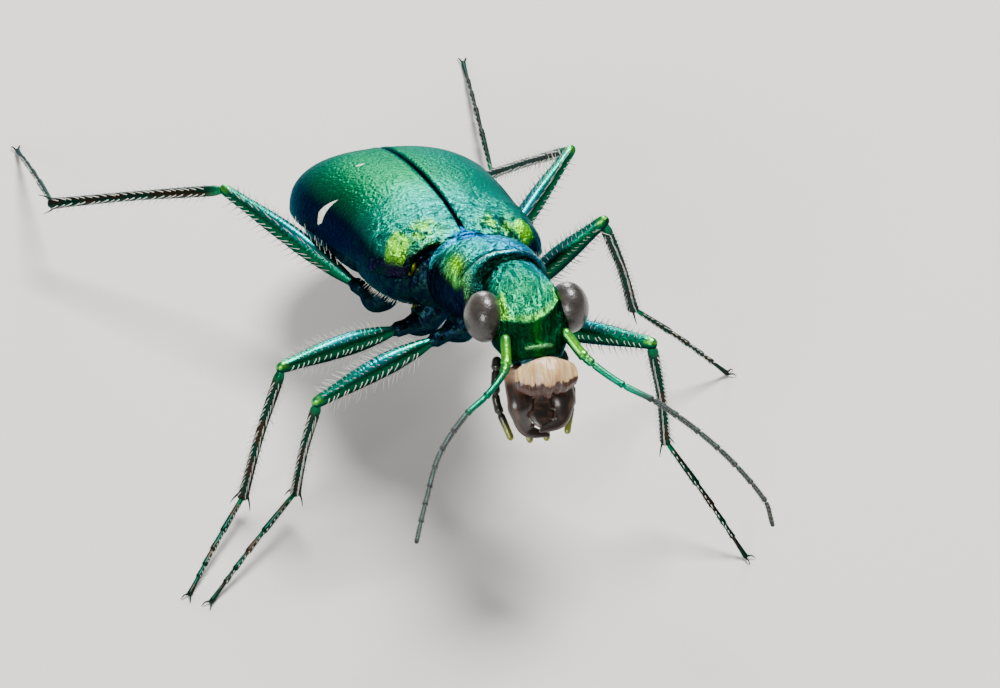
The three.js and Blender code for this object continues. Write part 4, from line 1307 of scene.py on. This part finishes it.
def flank_hair(bristles):
    """White hairs that lie along the sides of the chest and the first rings of the belly."""
    rings = trunk_rings(0.02, 0.362, chest_bottom, 40, 0)
    normals = ring_normals(rings)
    around = rings.shape[1]
    for low, high in ((-0.20, -0.08), (0.58, 0.70)):
        rows = rng.integers(3, 37, FLANK_HAIRS)
        turn_share = rng.uniform(low, high, FLANK_HAIRS)
        columns = (turn_share * around).astype(int) % around
        roots, out = rings[rows, columns], normals[rows, columns]
        back = np.array([0, 1, -0.5])
        aims = out * 0.55 + back * 0.75
        aims /= np.linalg.norm(aims, axis=1)[:, None]
        patches = np.stack([rows / 40, columns / around], -1)
        leans = np.tile(back @ BODY_TURN.T, (FLANK_HAIRS, 1))
        bristles.add(body_to_animal(roots) - out @ BODY_TURN.T * 0.01, aims @ BODY_TURN.T, leans,
                     rng.uniform(0.14, 0.22, FLANK_HAIRS), patches)
        bristles.next_limb()


# The whole animal

build_wing_cases()
build_collar()
underside = trunk_material()
build_trunk(underside)
build_skull(head_material())
build_eyes()
build_lip()
build_jaws()

pale_hair = plain_material("pale bristle", (0.62, 0.62, 0.54), 0.45)
feeler_hair = plain_material("dull down", (0.20, 0.18, 0.15), 0.6)

feeler_bristles = Bristles()
build_feelers(feeler_bristles)
feeler_bristles.grow("feeler_bristles", "feeler", feeler_hair, 0.007)

leg_bristles = Bristles()
leg_metals = (underside, thigh_material(), shin_material())
for leg_name in LEGS:
    build_leg(leg_name, leg_metals, leg_bristles)
leg_bristles.grow("leg_bristles", "shin", pale_hair, 0.014)

body_bristles = Bristles()
flank_hair(body_bristles)
body_bristles.grow("body_bristles", "underside", pale_hair, 0.010)


# Floor, light and camera, in metres

FLOOR_HALF = 0.6
SKY_STRENGTH = 0.24
LOOK_AT = (0, 0, 0.003)
# Name, place, size and power in watts of each light panel.
PANELS = (
    ("sky panel", (0.05, 0.05, 0.20), 0.09, 0.95),
    ("back panel", (0.07, 0.26, 0.09), 0.10, 0.6),
    ("front panel", (-0.16, -0.16, 0.12), 0.10, 0.5),
)


def build_floor():
    mesh = bpy.data.meshes.new("floor")
    h = FLOOR_HALF
    mesh.from_pydata([(-h, -h, 0), (h, -h, 0), (h, h, 0), (-h, h, 0)], [], [(0, 1, 2, 3)])
    mesh.materials.append(plain_material("pale floor", (0.62, 0.60, 0.57), 0.7))
    floor = bpy.data.objects.new("floor", mesh)
    bpy.context.scene.collection.objects.link(floor)


def area_light(name, place, size, watts):
    data = bpy.data.lights.new(name, "AREA")
    data.shape = "DISK"
    data.size = size
    data.energy = watts
    light = bpy.data.objects.new(name, data)
    bpy.context.scene.collection.objects.link(light)
    light.location = place
    light.rotation_mode = "QUATERNION"
    light.rotation_quaternion = (Vector(LOOK_AT) - Vector(place)).to_track_quat("-Z", "Y")


def build_light():
    world = bpy.data.worlds.new("pale sky")
    world.use_nodes = True
    world.node_tree.nodes["Background"].inputs["Color"].default_value = (0.90, 0.95, 1.0, 1)
    world.node_tree.nodes["Background"].inputs["Strength"].default_value = SKY_STRENGTH
    bpy.context.scene.world = world
    for panel in PANELS:
        area_light(*panel)


def build_camera():
    azimuth, elevation, roll = (math.radians(a) for a in (CAMERA_AZIMUTH, CAMERA_ELEVATION, CAMERA_ROLL))
    back = Vector((math.cos(elevation) * math.sin(azimuth), -math.cos(elevation) * math.cos(azimuth),
                   math.sin(elevation)))
    level = Vector((math.cos(azimuth), math.sin(azimuth), 0))
    upright = back.cross(level)
    right = level * math.cos(roll) + upright * math.sin(roll)
    up = upright * math.cos(roll) - level * math.sin(roll)
    data = bpy.data.cameras.new("camera")
    data.lens = PIXELS_PER_RADIAN / IMAGE_WIDTH * SENSOR
    data.sensor_width = SENSOR
    data.clip_start = 0.005
    data.clip_end = 5
    data.dof.use_dof = False
    camera = bpy.data.objects.new("camera", data)
    bpy.context.scene.collection.objects.link(camera)
    target = (Vector(CAMERA_TARGET) + Vector(OFFSET)) * MM
    turned = Matrix((right, up, back)).transposed().to_4x4()
    camera.matrix_world = Matrix.Translation(target + back * CAMERA_DISTANCE * MM) @ turned
    bpy.context.scene.camera = camera


build_floor()
build_light()
build_camera()
